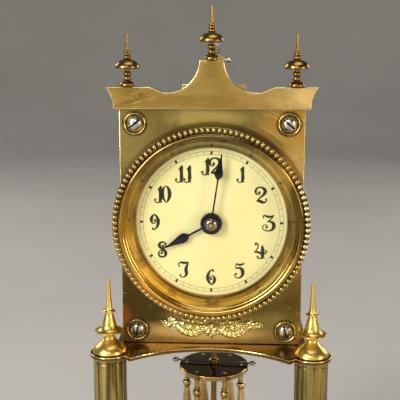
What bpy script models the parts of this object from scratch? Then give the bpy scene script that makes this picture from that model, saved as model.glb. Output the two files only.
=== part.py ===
"""Anniversary (400-day torsion) clock, modelled piece by piece.

Units: every length constant is in millimetres and is scaled to metres when a mesh is made.
Frame: +Z up, the dial faces -Y, +X is to the right of someone facing the dial.
Origin: on the floor, on the vertical axis of the pendulum, which is also the centre of the round base.
"""
import math

import bmesh
import bpy
from mathutils import Vector
from mathutils.geometry import delaunay_2d_cdt

for ob in list(bpy.data.objects):
    bpy.data.objects.remove(ob, do_unlink=True)

MM = 0.001
GAP = 0.3                       # air left between pieces that touch
RUN = 0.25                      # radial clearance of a pivot in its hole

# ---------------------------------------------------------------- stand
BASE_R = 102.0
BASE_TOP = 25.0
BASE_WALL = 1.8
LEDGE_Z = 11.3                  # ring on which a glass dome would stand
FOOT_R = 7.0
FOOT_PCR = 84.0
FLANGE_Z = (6.0, 8.0)
COLUMN_X = 51.4
COLUMN_Y = -55.4
COLUMN_R = 8.43
CAPITAL_R = 9.6
PLATFORM_T = 2.0
PLATFORM_TOP = 128.0
PLATFORM_ARC_R = 59.0           # hollow front edge of the platform
PLATFORM_ARC_Y = -48.9

# ---------------------------------------------------------------- movement frame
PLATE_W = 93.0
PLATE_T = 2.5
FRONT_Y = -42.0                 # front face of the front plate
FRONT_IN = FRONT_Y + PLATE_T    # inner face of the front plate
BACK_IN = -11.0                 # inner face of the back plate
BACK_Y = BACK_IN + PLATE_T      # rear face of the back plate
FRONT_H = 127.5
BACK_H = 124.0
PILLAR_X = 38.58
PILLAR_Z = (7.47, 115.57)       # above the platform
PEDIMENT_T = 3.0
PEDIMENT_Y = FRONT_Y - GAP - PEDIMENT_T
PEDIMENT_BOTTOM = 123.1
PEDIMENT_SHOULDER = 134.0
PEDIMENT_TOP = 147.0
FINIAL_X = 41.7

# ---------------------------------------------------------------- dial and hands
DIAL_Z = 65.4                   # centre of the dial above the platform
DIAL_R = 40.5
DIAL_SEEN_R = 38.46
MINUTE_DEG = 8.4                # hands read about one minute past eight
HOUR_DEG = 241.2

# ---------------------------------------------------------------- going train, x and height above the platform
CENTRE = (0.0, DIAL_Z)
BARREL = (13.0, 33.0)
M_BARREL, M_INTER, M_THIRD, M_CENTRE = 0.75, 0.55, 0.55, 0.40
T_BARREL, T_INTER, T_THIRD, T_CENTRE = 80, 72, 64, 84
LEAVES, LEAVES_ESC = 8, 7
M_CANNON, M_HOUR = 0.50, 0.48
T_CANNON, T_MINUTE, T_MINPIN, T_HOUR = 12, 36, 10, 40
ESCAPE_TEETH, ESCAPE_R = 20, 12.0
WHEEL_TOOTH = (1.05, 1.20, 0.33, 0.0)       # addendum, dedendum, half widths at root and tip (0: pointed)
PINION_TOOTH = (0.60, 1.35, 0.20, 0.16)
MOTION_DRIVER = (0.70, 1.20, 0.25, 0.18)
MOTION_WHEEL = (0.90, 1.20, 0.31, 0.0)

# ---------------------------------------------------------------- pendulum
PEND_TOP = 100.2
PEND_TOP_R = 19.95
PEND_TOP_T = 3.0
PEND_PILLAR_R = 15.8
PEND_TURN = 85.0                # angle of the first pillar from the front, towards +X
PEND_DISC = (48.0, 59.7)
PEND_DISC_R = 38.0
ROD_R = 1.65
REG_Z = PEND_TOP + 1.3
SUSP_TOP = PLATFORM_TOP + 147.8


# ================================================================ small geometry helpers
def circle(r, n, cx=0.0, cy=0.0, turn=0.0):
    return [(cx + r * math.sin(turn + 2 * math.pi * i / n), cy + r * math.cos(turn + 2 * math.pi * i / n))
            for i in range(n)]


def rect(x0, x1, y0, y1):
    return [(x0, y0), (x1, y0), (x1, y1), (x0, y1)]


def arc(cx, cy, r, a0, a1, n):
    return [(cx + r * math.cos(math.radians(a0 + (a1 - a0) * i / n)),
             cy + r * math.sin(math.radians(a0 + (a1 - a0) * i / n))) for i in range(n + 1)]


def area(loop):
    return abs(sum(loop[i][0] * loop[(i + 1) % len(loop)][1] - loop[(i + 1) % len(loop)][0] * loop[i][1]
                   for i in range(len(loop)))) / 2


def odd_inside(p, loops):
    hit = False
    for lp in loops:
        n = len(lp)
        for i in range(n):
            (x0, y0), (x1, y1) = lp[i], lp[(i + 1) % n]
            if (y0 > p[1]) != (y1 > p[1]) and p[0] < (x1 - x0) * (p[1] - y0) / (y1 - y0) + x0:
                hit = not hit
    return hit


def fill(loops):
    """Triangles over the area inside loops[0] and outside all the others."""
    pts = [Vector(p) for lp in loops for p in lp]
    edges, first = [], 0
    for lp in loops:
        edges += [(first + i, first + (i + 1) % len(lp)) for i in range(len(lp))]
        first += len(lp)
    verts, _, faces, origin, _, _ = delaunay_2d_cdt(pts, edges, [], 0, 1e-7)
    tris = []
    for f in faces:
        mid = sum((verts[k] for k in f), Vector((0.0, 0.0))) / len(f)
        if odd_inside(mid, loops):
            tris.append([origin[k][0] for k in f])
    return tris


def place(axis, u, v, h):
    if axis == 'Y':
        return (u * MM, h * MM, v * MM)
    if axis == 'Z':
        return (u * MM, v * MM, h * MM)
    return (h * MM, u * MM, v * MM)


def solid(sections, bores=(), axis='Y'):
    """A body built of prisms end to end along an axis.

    sections: (loop, start, end[, windows]); each loop lies inside or outside its neighbour's.
    bores: stacks of (loop, start, end) that run right through the body.
    """
    bm = bmesh.new()
    made = {}

    def ring(loop, h):
        key = (id(loop), round(h, 6))
        if key not in made:
            made[key] = [bm.verts.new(place(axis, u, v, h)) for u, v in loop]
        return made[key]

    def cap(loops, h):
        verts = [v for lp in loops for v in ring(lp, h)]
        for t in fill(loops):
            bm.faces.new([verts[k] for k in t])

    def wall(loop, a, b):
        lo, hi = ring(loop, a), ring(loop, b)
        n = len(lo)
        for i in range(n):
            bm.faces.new((lo[i], lo[(i + 1) % n], hi[(i + 1) % n], hi[i]))

    sec = [(s[0], s[1], s[2], list(s[3]) if len(s) > 3 else []) for s in sections]
    for loop, a, b, wins in sec:
        wall(loop, a, b)
        for w in wins:
            wall(w, a, b)
    cap([sec[0][0]] + [b[0][0] for b in bores] + sec[0][3], sec[0][1])
    cap([sec[-1][0]] + [b[-1][0] for b in bores] + sec[-1][3], sec[-1][2])
    for s, t in zip(sec, sec[1:]):
        if s[0] is t[0]:
            continue
        big, small = (s, t) if area(s[0]) > area(t[0]) else (t, s)
        cap([big[0], small[0]] + big[3], s[2])
    for stack in bores:
        for loop, a, b in stack:
            wall(loop, a, b)
        for s, t in zip(stack, stack[1:]):
            big, small = (s, t) if area(s[0]) > area(t[0]) else (t, s)
            cap([big[0], small[0]], s[2])
    bmesh.ops.recalc_face_normals(bm, faces=bm.faces)
    return bm


def turned(profile, n, axis='Z', closed=False):
    """A turned body. profile: (radius, height) from one end of the axis to the other, or a closed ring."""
    bm = bmesh.new()
    rows = []
    for r, h in profile:
        if r < 1e-9:
            rows.append([bm.verts.new(place(axis, 0.0, 0.0, h))])
        else:
            rows.append([bm.verts.new(place(axis, r * math.sin(2 * math.pi * i / n), r * math.cos(2 * math.pi * i / n), h))
                         for i in range(n)])
    pairs = list(zip(rows, rows[1:]))
    if closed:
        pairs.append((rows[-1], rows[0]))
    for a, b in pairs:
        for i in range(n):
            j = (i + 1) % n
            if len(a) == 1:
                bm.faces.new((a[0], b[i], b[j]))
            elif len(b) == 1:
                bm.faces.new((a[i], a[j], b[0]))
            else:
                bm.faces.new((a[i], a[j], b[j], b[i]))
    bmesh.ops.recalc_face_normals(bm, faces=bm.faces)
    return bm


def finish_of(name, rgb, rough, metal):
    m = bpy.data.materials.new(name + '_finish')
    m.use_nodes = True
    b = m.node_tree.nodes['Principled BSDF']
    b.inputs['Base Color'].default_value = (*rgb, 1.0)
    b.inputs['Roughness'].default_value = rough
    b.inputs['Metallic'].default_value = metal
    m.diffuse_color = (*rgb, 1.0)
    return m


BRASS = ((0.56, 0.41, 0.16), 0.32, 1.0)
BRIGHT = ((0.66, 0.49, 0.20), 0.24, 1.0)
GILT = ((0.78, 0.58, 0.22), 0.35, 1.0)
WHEEL = ((0.70, 0.54, 0.24), 0.30, 1.0)
STEEL = ((0.52, 0.52, 0.51), 0.30, 1.0)
DARK = ((0.035, 0.035, 0.05), 0.30, 0.9)
DIAL = ((0.86, 0.80, 0.56), 0.35, 0.0)


def piece(name, bm, finish, at=(0.0, 0.0, 0.0), turn=(0.0, 0.0, 0.0), parent=None):
    me = bpy.data.meshes.new(name)
    bm.to_mesh(me)
    bm.free()
    me.shade_smooth()
    me.set_sharp_from_angle(angle=math.radians(32))
    ob = bpy.data.objects.new(name, me)
    bpy.context.scene.collection.objects.link(ob)
    ob.data.materials.append(finish_of(name, *finish))
    ob.location = [c * MM for c in at]
    ob.rotation_euler = turn
    if parent:
        ob.parent = parent
    return ob


def shape(ob, bm, how):
    """Joins a second body to a piece, or cuts it away; bm is in the piece's own coordinates."""
    me = bpy.data.meshes.new('tool')
    bm.to_mesh(me)
    bm.free()
    tool = bpy.data.objects.new('tool', me)
    bpy.context.scene.collection.objects.link(tool)
    tool.matrix_world = ob.matrix_world.copy()
    tool.location = ob.location
    tool.rotation_euler = ob.rotation_euler
    mod = ob.modifiers.new('shape', 'BOOLEAN')
    mod.operation = how
    mod.solver = 'EXACT'
    mod.object = tool
    bpy.context.view_layer.update()
    done = bpy.data.meshes.new_from_object(ob.evaluated_get(bpy.context.evaluated_depsgraph_get()))
    ob.modifiers.remove(mod)
    ob.data = done
    bpy.data.objects.remove(tool, do_unlink=True)
    done.shade_smooth()
    done.set_sharp_from_angle(angle=math.radians(32))
    return ob


def moved(bm, dx=0.0, dy=0.0, dz=0.0):
    bmesh.ops.translate(bm, verts=bm.verts, vec=Vector((dx, dy, dz)) * MM)
    return bm


def gear(n, m, tooth, turn=0.0):
    """Outline of a toothed wheel; turn is the angle of one tooth, clockwise from 12 seen from the front."""
    add, ded, at_root, at_tip = tooth
    rp, pitch, pts = n * m / 2, 2 * math.pi / n, []
    flank = [(-at_root, rp - ded * m), (-at_tip, rp + add * m), (at_tip, rp + add * m), (at_root, rp - ded * m)]
    if at_tip == 0.0:
        flank.pop(1)
    for i in range(n):
        c = turn + i * pitch
        for a, r in flank:
            pts.append((r * math.sin(c + a * pitch), r * math.cos(c + a * pitch)))
    return pts


def heading(a, b):
    return math.atan2(b[0] - a[0], b[1] - a[1])


def in_mesh(n1, turn1, n2, th):
    """Turn of the second wheel that puts its gap on the first wheel's tooth, th being the way from 1 to 2."""
    return th + math.pi + math.pi / n2 - (turn1 - th) * n1 / n2


def crossings(r0, r1, count, spoke, turn=0.0, n=3):
    """Openings between the spokes of a wheel."""
    wins = []
    for k in range(count):
        c = turn + 2 * math.pi * k / count
        h0 = math.pi / count - spoke / (2 * r0)
        h1 = math.pi / count - spoke / (2 * r1)
        outer = [(r1 * math.sin(c - h1 + 2 * h1 * i / n), r1 * math.cos(c - h1 + 2 * h1 * i / n)) for i in range(n + 1)]
        inner = [(r0 * math.sin(c + h0 - 2 * h0 * i), r0 * math.cos(c + h0 - 2 * h0 * i)) for i in range(2)]
        wins.append(outer + inner)
    return wins


def meet(a, ra, b, rb, side):
    """Point at distance ra from a and rb from b, on the given side of the line from a to b."""
    dx, dy = b[0] - a[0], b[1] - a[1]
    d = math.hypot(dx, dy)
    x = (ra * ra - rb * rb + d * d) / (2 * d)
    y = side * math.sqrt(ra * ra - x * x)
    return (a[0] + (x * dx - y * dy) / d, a[1] + (x * dy + y * dx) / d)


# ================================================================ wheel positions
D_BI = (T_BARREL + LEAVES) * M_BARREL / 2
D_IT = (T_INTER + LEAVES) * M_INTER / 2
D_TC = (T_THIRD + LEAVES) * M_THIRD / 2
D_CE = (T_CENTRE + LEAVES_ESC) * M_CENTRE / 2
D_MOTION = (T_CANNON + T_MINUTE) * M_CANNON / 2
INTER = (BARREL[0] + D_BI * math.cos(math.radians(157)), BARREL[1] + D_BI * math.sin(math.radians(157)))
THIRD = meet(INTER, D_IT, CENTRE, D_TC, 1)
ESCAPE = (0.0, CENTRE[1] + D_CE)
ANCHOR = (0.0, ESCAPE[1] + 16.2)
MINUTE = (CENTRE[0] + D_MOTION * math.sin(math.radians(120)), CENTRE[1] + D_MOTION * math.cos(math.radians(120)))
CLICK = (BARREL[0] + 12.5, BARREL[1] + 9.5)
P = PLATFORM_TOP


def hang(xz):
    """World position of a point on a wheel's axis."""
    return (xz[0], 0.0, P + xz[1])


# ================================================================ base and feet
base_profile = [(0, BASE_TOP), (89.2, BASE_TOP), (90.5, 23.8), (90.0, 21.6), (90.0, 16.5), (92.8, LEDGE_Z), (98.6, LEDGE_Z),
                (101.0, 10.8), (BASE_R, 9.4), (BASE_R, 6.9), (101.1, FLANGE_Z[0]), (76.0, FLANGE_Z[0]), (76.0, FLANGE_Z[1]),
                (99.9, FLANGE_Z[1]), (99.9, 9.4), (91.0, 9.5), (88.2, 16.0), (88.2, BASE_TOP - BASE_WALL),
                (0, BASE_TOP - BASE_WALL)]
base = piece('base_shell', turned(base_profile, 32), BRIGHT)
for sx in (-1, 1):
    shape(base, moved(turned([(0, 20.0), (3.4, 20.0), (3.4, 27.0), (0, 27.0)], 12), sx * COLUMN_X, COLUMN_Y), 'DIFFERENCE')
    shape(base, moved(turned([(0, 4.0), (2.8, 4.0), (2.8, 9.0), (0, 9.0)], 10),
                      sx * FOOT_PCR * math.cos(math.radians(30)), -FOOT_PCR * 0.5), 'DIFFERENCE')
shape(base, moved(turned([(0, 0), (6.2, 0), (FOOT_R, 0.8), (FOOT_R, 4.2), (6.0, 5.2), (3.2, 5.6), (3.2, 7.0), (0, 7.0)], 14),
                  0.0, FOOT_PCR), 'UNION')
for side, sx in (('left', -1), ('right', 1)):
    piece('levelling_foot_' + side,
          turned([(0, 0), (6.2, 0), (FOOT_R, 0.8), (FOOT_R, 4.2), (6.0, 5.2), (2.4, 5.5), (2.4, 14.0), (0, 14.0)], 14),
          BRASS, (sx * FOOT_PCR * math.cos(math.radians(30)), -FOOT_PCR * 0.5, 0))

# ================================================================ columns and their finials
top = P - PLATFORM_T - GAP
column_profile = [(0, 14), (3.0, 14), (3.0, BASE_TOP + GAP), (12.2, BASE_TOP + GAP), (12.2, 27.4), (11.2, 29.4),
                  (9.2, 31.6), (COLUMN_R, 34.2), (COLUMN_R, top - 1.0), (CAPITAL_R, top - 0.9),
                  (CAPITAL_R, top), (2.8, top), (2.8, 111.0), (0, 111.0)]
finial_profile = [(0, 112.0), (2.5, 112.0), (2.5, P + GAP), (8.2, P + GAP), (8.15, P + 1.6), (6.8, P + 3.6), (3.65, P + 5.3),
                  (3.6, P + 8.8), (7.6, P + 10.6), (7.85, P + 11.3), (7.3, P + 12.0), (4.2, P + 13.6), (3.45, P + 15.4),
                  (2.95, P + 20.6), (3.95, P + 21.7), (3.95, P + 22.3), (1.8, P + 23.4), (0.9, P + 37.6), (0, P + 38.0)]
for side, sx in (('left', -1), ('right', 1)):
    piece('column_' + side, turned(column_profile, 14), BRASS, (sx * COLUMN_X, COLUMN_Y, 0))
    piece('column_finial_' + side, turned(finial_profile, 12), BRASS, (sx * COLUMN_X, COLUMN_Y, 0))

# ================================================================ platform
front = []
for i in range(9):
    x = 40.0 * i / 8
    front.append((x, PLATFORM_ARC_Y - PLATFORM_ARC_R + math.sqrt(PLATFORM_ARC_R ** 2 - x * x)))
half = front + [(41.3, -62.3)] + arc(COLUMN_X, COLUMN_Y, CAPITAL_R, -145, 60, 11) + [(50.4, -42.5), (49.6, -38.0)] \
    + arc(42.6, 6.0, 7.0, 0, 90, 5)
outline = half + [(-x, y) for x, y in reversed(half[1:])]
hole = circle(6.5, 16)
ears = [circle(2.8, 12, sx * COLUMN_X, COLUMN_Y) for sx in (-1, 1)]
piece('platform', solid([(outline, P - PLATFORM_T, P)], [[(h, P - PLATFORM_T, P)] for h in [hole] + ears], 'Z'), BRASS)

# ================================================================ plates
lo, hi = P + GAP, P + FRONT_H
plate = rect(-PLATE_W / 2, PLATE_W / 2, lo, hi)
bores = []
for sx in (-1, 1):
    for pz in PILLAR_Z:
        wide, tight = circle(5.75, 16, sx * PILLAR_X, P + pz), circle(2.2, 16, sx * PILLAR_X, P + pz)
        bores.append([(wide, FRONT_Y, FRONT_Y + 1.3), (tight, FRONT_Y + 1.3, FRONT_IN)])


def drill(xz, r, y0, y1, n=8):
    return [(circle(r, n, xz[0], P + xz[1]), y0, y1)]


bores += [drill(CENTRE, 2.9, FRONT_Y, FRONT_IN, 14), drill(BARREL, 1.2 + RUN, FRONT_Y, FRONT_IN),
          drill(INTER, 0.8 + RUN, FRONT_Y, FRONT_IN), drill(THIRD, 0.8 + RUN, FRONT_Y, FRONT_IN),
          drill(ESCAPE, 0.5 + RUN, FRONT_Y, FRONT_IN), drill(ANCHOR, 0.8 + RUN, FRONT_Y, FRONT_IN)]
front_plate = piece('front_plate', solid([(plate, FRONT_Y, FRONT_IN)], bores), BRASS)
shape(front_plate, moved(turned([(0, FRONT_IN - 1.0), (0.75, FRONT_IN - 1.0), (0.75, -36.2), (0, -36.2)], 12, 'Y'),
                         MINUTE[0], 0, P + MINUTE[1]), 'UNION')

plate = rect(-PLATE_W / 2, PLATE_W / 2, lo, P + BACK_H)
bores = [drill((sx * PILLAR_X, pz), 2.7, BACK_IN, BACK_Y, 10) for sx in (-1, 1) for pz in PILLAR_Z]
bores += [drill(CENTRE, 0.8 + RUN, BACK_IN, BACK_Y), drill(BARREL, 3.1, BACK_IN, BACK_Y, 14),
          drill(INTER, 0.8 + RUN, BACK_IN, BACK_Y), drill(THIRD, 0.8 + RUN, BACK_IN, BACK_Y),
          drill(ESCAPE, 0.5 + RUN, BACK_IN, BACK_Y), drill(ANCHOR, 1.3, BACK_IN, BACK_Y)]
back_plate = piece('back_plate', solid([(plate, BACK_IN, BACK_Y)], bores), BRASS)
shape(back_plate, moved(turned([(0, BACK_Y - 1.0), (0.95, BACK_Y - 1.0), (0.95, -5.8), (0, -5.8)], 12, 'Y'),
                        CLICK[0], 0, P + CLICK[1]), 'UNION')

# ================================================================ movement pillars, their screws and cup washers
a, b = FRONT_IN + GAP, BACK_IN - GAP
pillar_profile = [(0, -30.5), (2.1, -30.5), (2.1, a), (4.3, a), (4.3, a + 1.6), (3.2, a + 2.6), (3.2, b - 2.6),
                  (4.3, b - 1.6), (4.3, b), (2.4, b), (2.4, BACK_Y + GAP), (0, BACK_Y + GAP)]
washer_profile = [(2.3, FRONT_Y + 1.0), (5.35, FRONT_Y + 1.0), (5.45, FRONT_Y - 0.3), (5.1, FRONT_Y - 0.55),
                  (3.9, FRONT_Y + 0.1), (2.3, FRONT_Y + 0.35)]
screw_profile = [(0, -33.0), (1.75, -33.0), (1.75, FRONT_Y - 0.2), (3.45, FRONT_Y - 0.35), (3.4, FRONT_Y - 1.0),
                 (2.8, FRONT_Y - 1.8), (1.6, FRONT_Y - 2.35), (0, FRONT_Y - 2.55)]
slot_turn = {('upper', 'left'): 37.0, ('upper', 'right'): -40.0, ('lower', 'left'): 80.0, ('lower', 'right'): 105.0}
for (row, pz) in (('lower', PILLAR_Z[0]), ('upper', PILLAR_Z[1])):
    for side, sx in (('left', -1), ('right', 1)):
        at = (sx * PILLAR_X, 0, P + pz)
        piece('pillar_%s_%s' % (row, side), turned(pillar_profile, 8, 'Y'), WHEEL, at)
        piece('pillar_washer_%s_%s' % (row, side), turned(washer_profile, 14, 'Y', closed=True), BRASS, at)
        screw = piece('pillar_screw_%s_%s' % (row, side), turned(screw_profile, 12, 'Y'), STEEL, at)
        t = math.radians(slot_turn[(row, side)])
        c, s = math.cos(t), math.sin(t)
        bar = [(c * u - s * v, s * u + c * v) for u, v in rect(-4.2, 4.2, -0.42, 0.42)]
        shape(screw, solid([(bar, FRONT_Y - 4.0, FRONT_Y - 1.35)]), 'DIFFERENCE')

# ================================================================ pediment and its three finials
ped = [(49.0, PEDIMENT_BOTTOM), (49.3, 126.8), (50.4, 130.2), (52.8, PEDIMENT_SHOULDER), (31.2, PEDIMENT_SHOULDER),
       (28.6, 133.1), (26.2, 132.1)]
ped += arc(22.2, 147.3, 16.05, -82, -176, 10) + [(5.8, PEDIMENT_TOP)]
loop = [(x, P + z) for x, z in ped] + [(-x, P + z) for x, z in reversed(ped)]
pediment = piece('pediment', solid([(loop, PEDIMENT_Y, PEDIMENT_Y + PEDIMENT_T)]), BRASS)
ty = PEDIMENT_Y + PEDIMENT_T / 2
spire = [(0, -5.0), (0.75, -5.0), (0.75, 0.3), (3.85, 0.3), (3.8, 1.0), (1.5, 2.7), (2.03, 3.4), (1.9, 4.5),
         (1.1, 5.1), (1.63, 6.2), (1.0, 7.5), (1.2, 8.6), (5.8, 8.8), (6.25, 9.7), (5.5, 11.2), (1.7, 13.0),
         (1.88, 14.0), (1.1, 14.8), (1.45, 17.0), (0.8, 17.6), (0.5, 26.0), (0, 26.2)]
for side, fx, fz in (('left', -FINIAL_X, PEDIMENT_SHOULDER), ('centre', 0.0, PEDIMENT_TOP), ('right', FINIAL_X, PEDIMENT_SHOULDER)):
    shape(pediment, moved(turned([(0, -5.6), (1.0, -5.6), (1.0, 1.0), (0, 1.0)], 10), fx, ty, P + fz), 'DIFFERENCE')
    piece('top_finial_' + side, turned(spire, 9), BRIGHT, (fx, ty, P + fz))

# ================================================================ bezel, dial, garland
bz = FRONT_Y
bezel_profile = [(DIAL_SEEN_R, bz - 1.4), (DIAL_SEEN_R, bz - 2.0), (41.3, bz - 7.6), (43.6, bz - 10.8), (45.1, bz - 11.8),
                 (47.0, bz - 10.7), (48.4, bz - 11.5), (49.7, bz - 10.2), (49.3, bz - 8.9), (47.2, bz - 7.8),
                 (47.0, bz - GAP), (45.9, bz - GAP), (45.4, bz - 9.2), (42.0, bz - 6.4), (40.2, bz - 1.4)]
piece('bezel', turned(bezel_profile, 36, 'Y', closed=True), BRIGHT, (0, 0, P + DIAL_Z))
dial_loop, dial_hole = circle(DIAL_R, 44), circle(4.0, 14)
piece('dial', solid([(dial_loop, FRONT_Y - 1.1, FRONT_Y - GAP)], [[(dial_hole, FRONT_Y - 1.1, FRONT_Y - GAP)]]), DIAL,
      (0, 0, P + DIAL_Z))
swag = [(-26.5, 12.4), (-21.0, 14.9), (-12.0, 13.6), (0, 14.4), (12.0, 13.6), (21.0, 14.2), (27.5, 10.9), (24.0, 8.4),
        (20.0, 7.0), (14.5, 5.2), (7.0, 5.6), (0, 3.4), (-7.0, 5.4), (-15.0, 4.2), (-20.0, 7.4), (-25.0, 9.8)]
inner_swag = [(x * 0.93, 9.2 + (z - 9.2) * 0.72) for x, z in swag]
lo_swag, hi_swag = [(x, P + z) for x, z in swag], [(x, P + z) for x, z in inner_swag]
piece('garland_mount', solid([(hi_swag, FRONT_Y - 2.3, FRONT_Y - 1.3), (lo_swag, FRONT_Y - 1.3, FRONT_Y - GAP)]), GILT)


# ================================================================ hands
def hand(hub, flank):
    """Outline of a hand that points to 12: a round hub, then the right flank mirrored on the left."""
    w0 = flank[0][0]
    a0 = math.asin(w0 / hub)
    n = 12
    back = [(hub * math.sin(a0 + (2 * math.pi - 2 * a0) * i / n), hub * math.cos(a0 + (2 * math.pi - 2 * a0) * i / n))
            for i in range(n + 1)]
    return back + [(-w, r) for w, r in flank[1:]] + [(w, r) for w, r in reversed(flank[1:])]


hour_flank = [(0.75, 5.4), (0.7, 12.8), (1.7, 13.6), (2.4, 15.2), (2.2, 16.8), (1.4, 19.8), (0.7, 23.6), (0.3, 27.0), (0.08, 28.8)]
minute_flank = [(0.45, 5.2), (0.42, 22.8), (1.4, 23.6), (2.15, 25.2), (1.95, 26.7), (1.1, 29.4), (0.5, 33.0), (0.08, 36.5)]
hour_loop, hour_bore = hand(5.5, hour_flank), circle(2.9, 12)
minute_loop, minute_bore = hand(5.3, minute_flank), circle(2.05, 12)
piece('hour_hand', solid([(hour_loop, -45.6, -45.0)], [[(hour_bore, -45.6, -45.0)]]), DARK, hang(CENTRE),
      (0, math.radians(HOUR_DEG), 0))
piece('minute_hand', solid([(minute_loop, -47.5, -46.9)], [[(minute_bore, -47.5, -46.9)]]), DARK, hang(CENTRE),
      (0, math.radians(MINUTE_DEG), 0))
piece('hand_collet', turned([(1.25, -47.8), (3.7, -47.8), (3.55, -48.5), (2.8, -49.3), (1.7, -49.8), (1.25, -49.8)], 14, 'Y',
                            closed=True), STEEL, hang(CENTRE))

# ================================================================ motion work, behind the front plate
turn_m = in_mesh(T_CANNON, 0.0, T_MINUTE, heading(CENTRE, MINUTE))
turn_h = in_mesh(T_MINPIN, 0.0, T_HOUR, heading(MINUTE, CENTRE))
bore, pipe = circle(1.2, 10), circle(1.75, 10)
piece('cannon_pinion', solid([(pipe, -47.7, -37.6), (gear(T_CANNON, M_CANNON, MOTION_DRIVER), -37.6, -36.3)],
                             [[(bore, -47.7, -36.3)]]), STEEL, hang(CENTRE))
bore, pipe = circle(2.0, 12), circle(2.6, 12)
piece('hour_wheel', solid([(pipe, -45.8, -39.15), (gear(T_HOUR, M_HOUR, MOTION_WHEEL, turn_h), -39.15, -38.05,
                                                  crossings(4.2, 7.6, 4, 1.8))],
                          [[(bore, -45.8, -38.05)]]), WHEEL, hang(CENTRE))
bore = circle(1.0, 8)
piece('minute_wheel', solid([(gear(T_MINPIN, M_HOUR, MOTION_DRIVER), -39.15, -37.6),
                             (gear(T_MINUTE, M_CANNON, MOTION_WHEEL, turn_m), -37.6, -36.5)],
                            [[(bore, -39.15, -36.5)]]), WHEEL, hang(MINUTE))

# ================================================================ going train
turn_e = in_mesh(T_CENTRE, 0.0, LEAVES_ESC, heading(CENTRE, ESCAPE))
turn_t = in_mesh(LEAVES, 0.0, T_THIRD, heading(CENTRE, THIRD))
turn_i = in_mesh(LEAVES, 0.0, T_INTER, heading(THIRD, INTER))
turn_b = in_mesh(LEAVES, 0.0, T_BARREL, heading(INTER, BARREL))
F0, F1, B0, B1 = -41.3, FRONT_IN + GAP, BACK_IN - GAP, -9.3       # front pivot, shoulders, rear pivot


def arbor(parts, r=1.2, pivot=0.8, start=None):
    """Sections of an arbor with its pivots; parts are (loop, y0, y1[, windows]) in order from front to back."""
    out, y = ([(circle(pivot, 6), F0, F1)], F1) if start is None else (list(start), start[-1][2])
    for p in parts:
        if p[1] > y + 1e-6:
            out.append((circle(r, 8), y, p[1]))
        out.append(p)
        y = p[2]
    out.append((circle(r, 8), y, B0))
    out.append((circle(pivot, 6), B0, B1))
    return out


piece('centre_wheel', solid(arbor([(gear(T_CENTRE, M_CENTRE, WHEEL_TOOTH), -34.9, -33.8, crossings(3.4, 14.2, 5, 2.0)),
                                   (gear(LEAVES, M_THIRD, PINION_TOOTH), -25.6, -22.4)],
                                  start=[(circle(0.95, 8), -50.6, -36.0)])), WHEEL, hang(CENTRE))
piece('third_wheel', solid(arbor([(gear(LEAVES, M_INTER, PINION_TOOTH), -32.9, -30.2),
                                  (gear(T_THIRD, M_THIRD, WHEEL_TOOTH, turn_t), -24.6, -23.5, crossings(3.4, 14.6, 5, 2.0))])),
      WHEEL, hang(THIRD))
piece('intermediate_wheel', solid(arbor([(gear(T_INTER, M_INTER, WHEEL_TOOTH, turn_i), -32.2, -31.1, crossings(3.8, 16.6, 5, 2.2)),
                                         (gear(LEAVES, M_BARREL, PINION_TOOTH), -30.4, -26.8)])), WHEEL, hang(INTER))
esc = []
for k in range(ESCAPE_TEETH):
    a0, p = 2 * math.pi * k / ESCAPE_TEETH, 2 * math.pi / ESCAPE_TEETH
    for da, r in ((-0.42, ESCAPE_R - 2.6), (0.0, ESCAPE_R), (0.14, ESCAPE_R - 2.6)):
        esc.append((r * math.sin(a0 + da * p), r * math.cos(a0 + da * p)))
piece('escape_wheel', solid(arbor([(gear(LEAVES_ESC, M_CENTRE, PINION_TOOTH, turn_e), -35.6, -33.1),
                                   (esc, -19.6, -18.6, crossings(2.6, 7.6, 4, 1.5))], r=0.75, pivot=0.5)), WHEEL, hang(ESCAPE))

# barrel, its cap, the mainspring in it and the winding arbor with its ratchet
wide, eye, drum, mouth = gear(T_BARREL, M_BARREL, WHEEL_TOOTH, turn_b), circle(3.1, 10), circle(27.4, 32), circle(25.6, 32)
piece('barrel', solid([(wide, -29.8, -27.3), (drum, -27.3, -13.0)], [[(eye, -29.8, -28.3), (mouth, -28.3, -13.0)]]),
      WHEEL, hang(BARREL))
lid, lid_eye = circle(25.2, 32), circle(3.1, 10)
piece('barrel_cap', solid([(lid, -14.3, -13.1)], [[(lid_eye, -14.3, -13.1)]]), WHEEL, hang(BARREL))
coil_out, coil_in, turns, steps = [], [], 4, 52
for i in range(steps + 1):
    t = i / steps
    ang, r = 2 * math.pi * turns * t, 5.3 + (24.7 - 5.3) * t
    coil_out.append(((r + 0.35) * math.sin(ang), (r + 0.35) * math.cos(ang)))
    coil_in.append(((r - 0.35) * math.sin(ang), (r - 0.35) * math.cos(ang)))
piece('mainspring', solid([(coil_out + coil_in[::-1], -27.9, -14.7)]), STEEL, hang(BARREL))
saw = []
for k in range(24):
    a0, p = 2 * math.pi * k / 24, 2 * math.pi / 24
    saw += [(9.0 * math.sin(a0), 9.0 * math.cos(a0)), (7.5 * math.sin(a0 + 0.12 * p), 7.5 * math.cos(a0 + 0.12 * p))]
square = [(1.7, 1.7), (1.7, -1.7), (-1.7, -1.7), (-1.7, 1.7)]
piece('winding_arbor', solid([(circle(1.2, 8), F0, F1), (circle(2.6, 10), F1, -26.9), (circle(4.6, 12), -26.9, -14.6),
                              (circle(2.8, 10), -14.6, -8.2), (saw, -8.2, -6.4), (circle(2.8, 10), -6.4, -5.2),
                              (square, -5.2, 5.0)]), STEEL, hang(BARREL))
click_loop = [(2.4 * math.sin(math.radians(d)), 2.4 * math.cos(math.radians(d))) for d in range(0, 250, 30)] \
    + [(-8.4, 0.3), (-10.2, -0.5), (-11.2, 0.7), (-10.0, 2.0), (-6.0, 2.5)]
click_bore = circle(1.25, 12)
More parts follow.
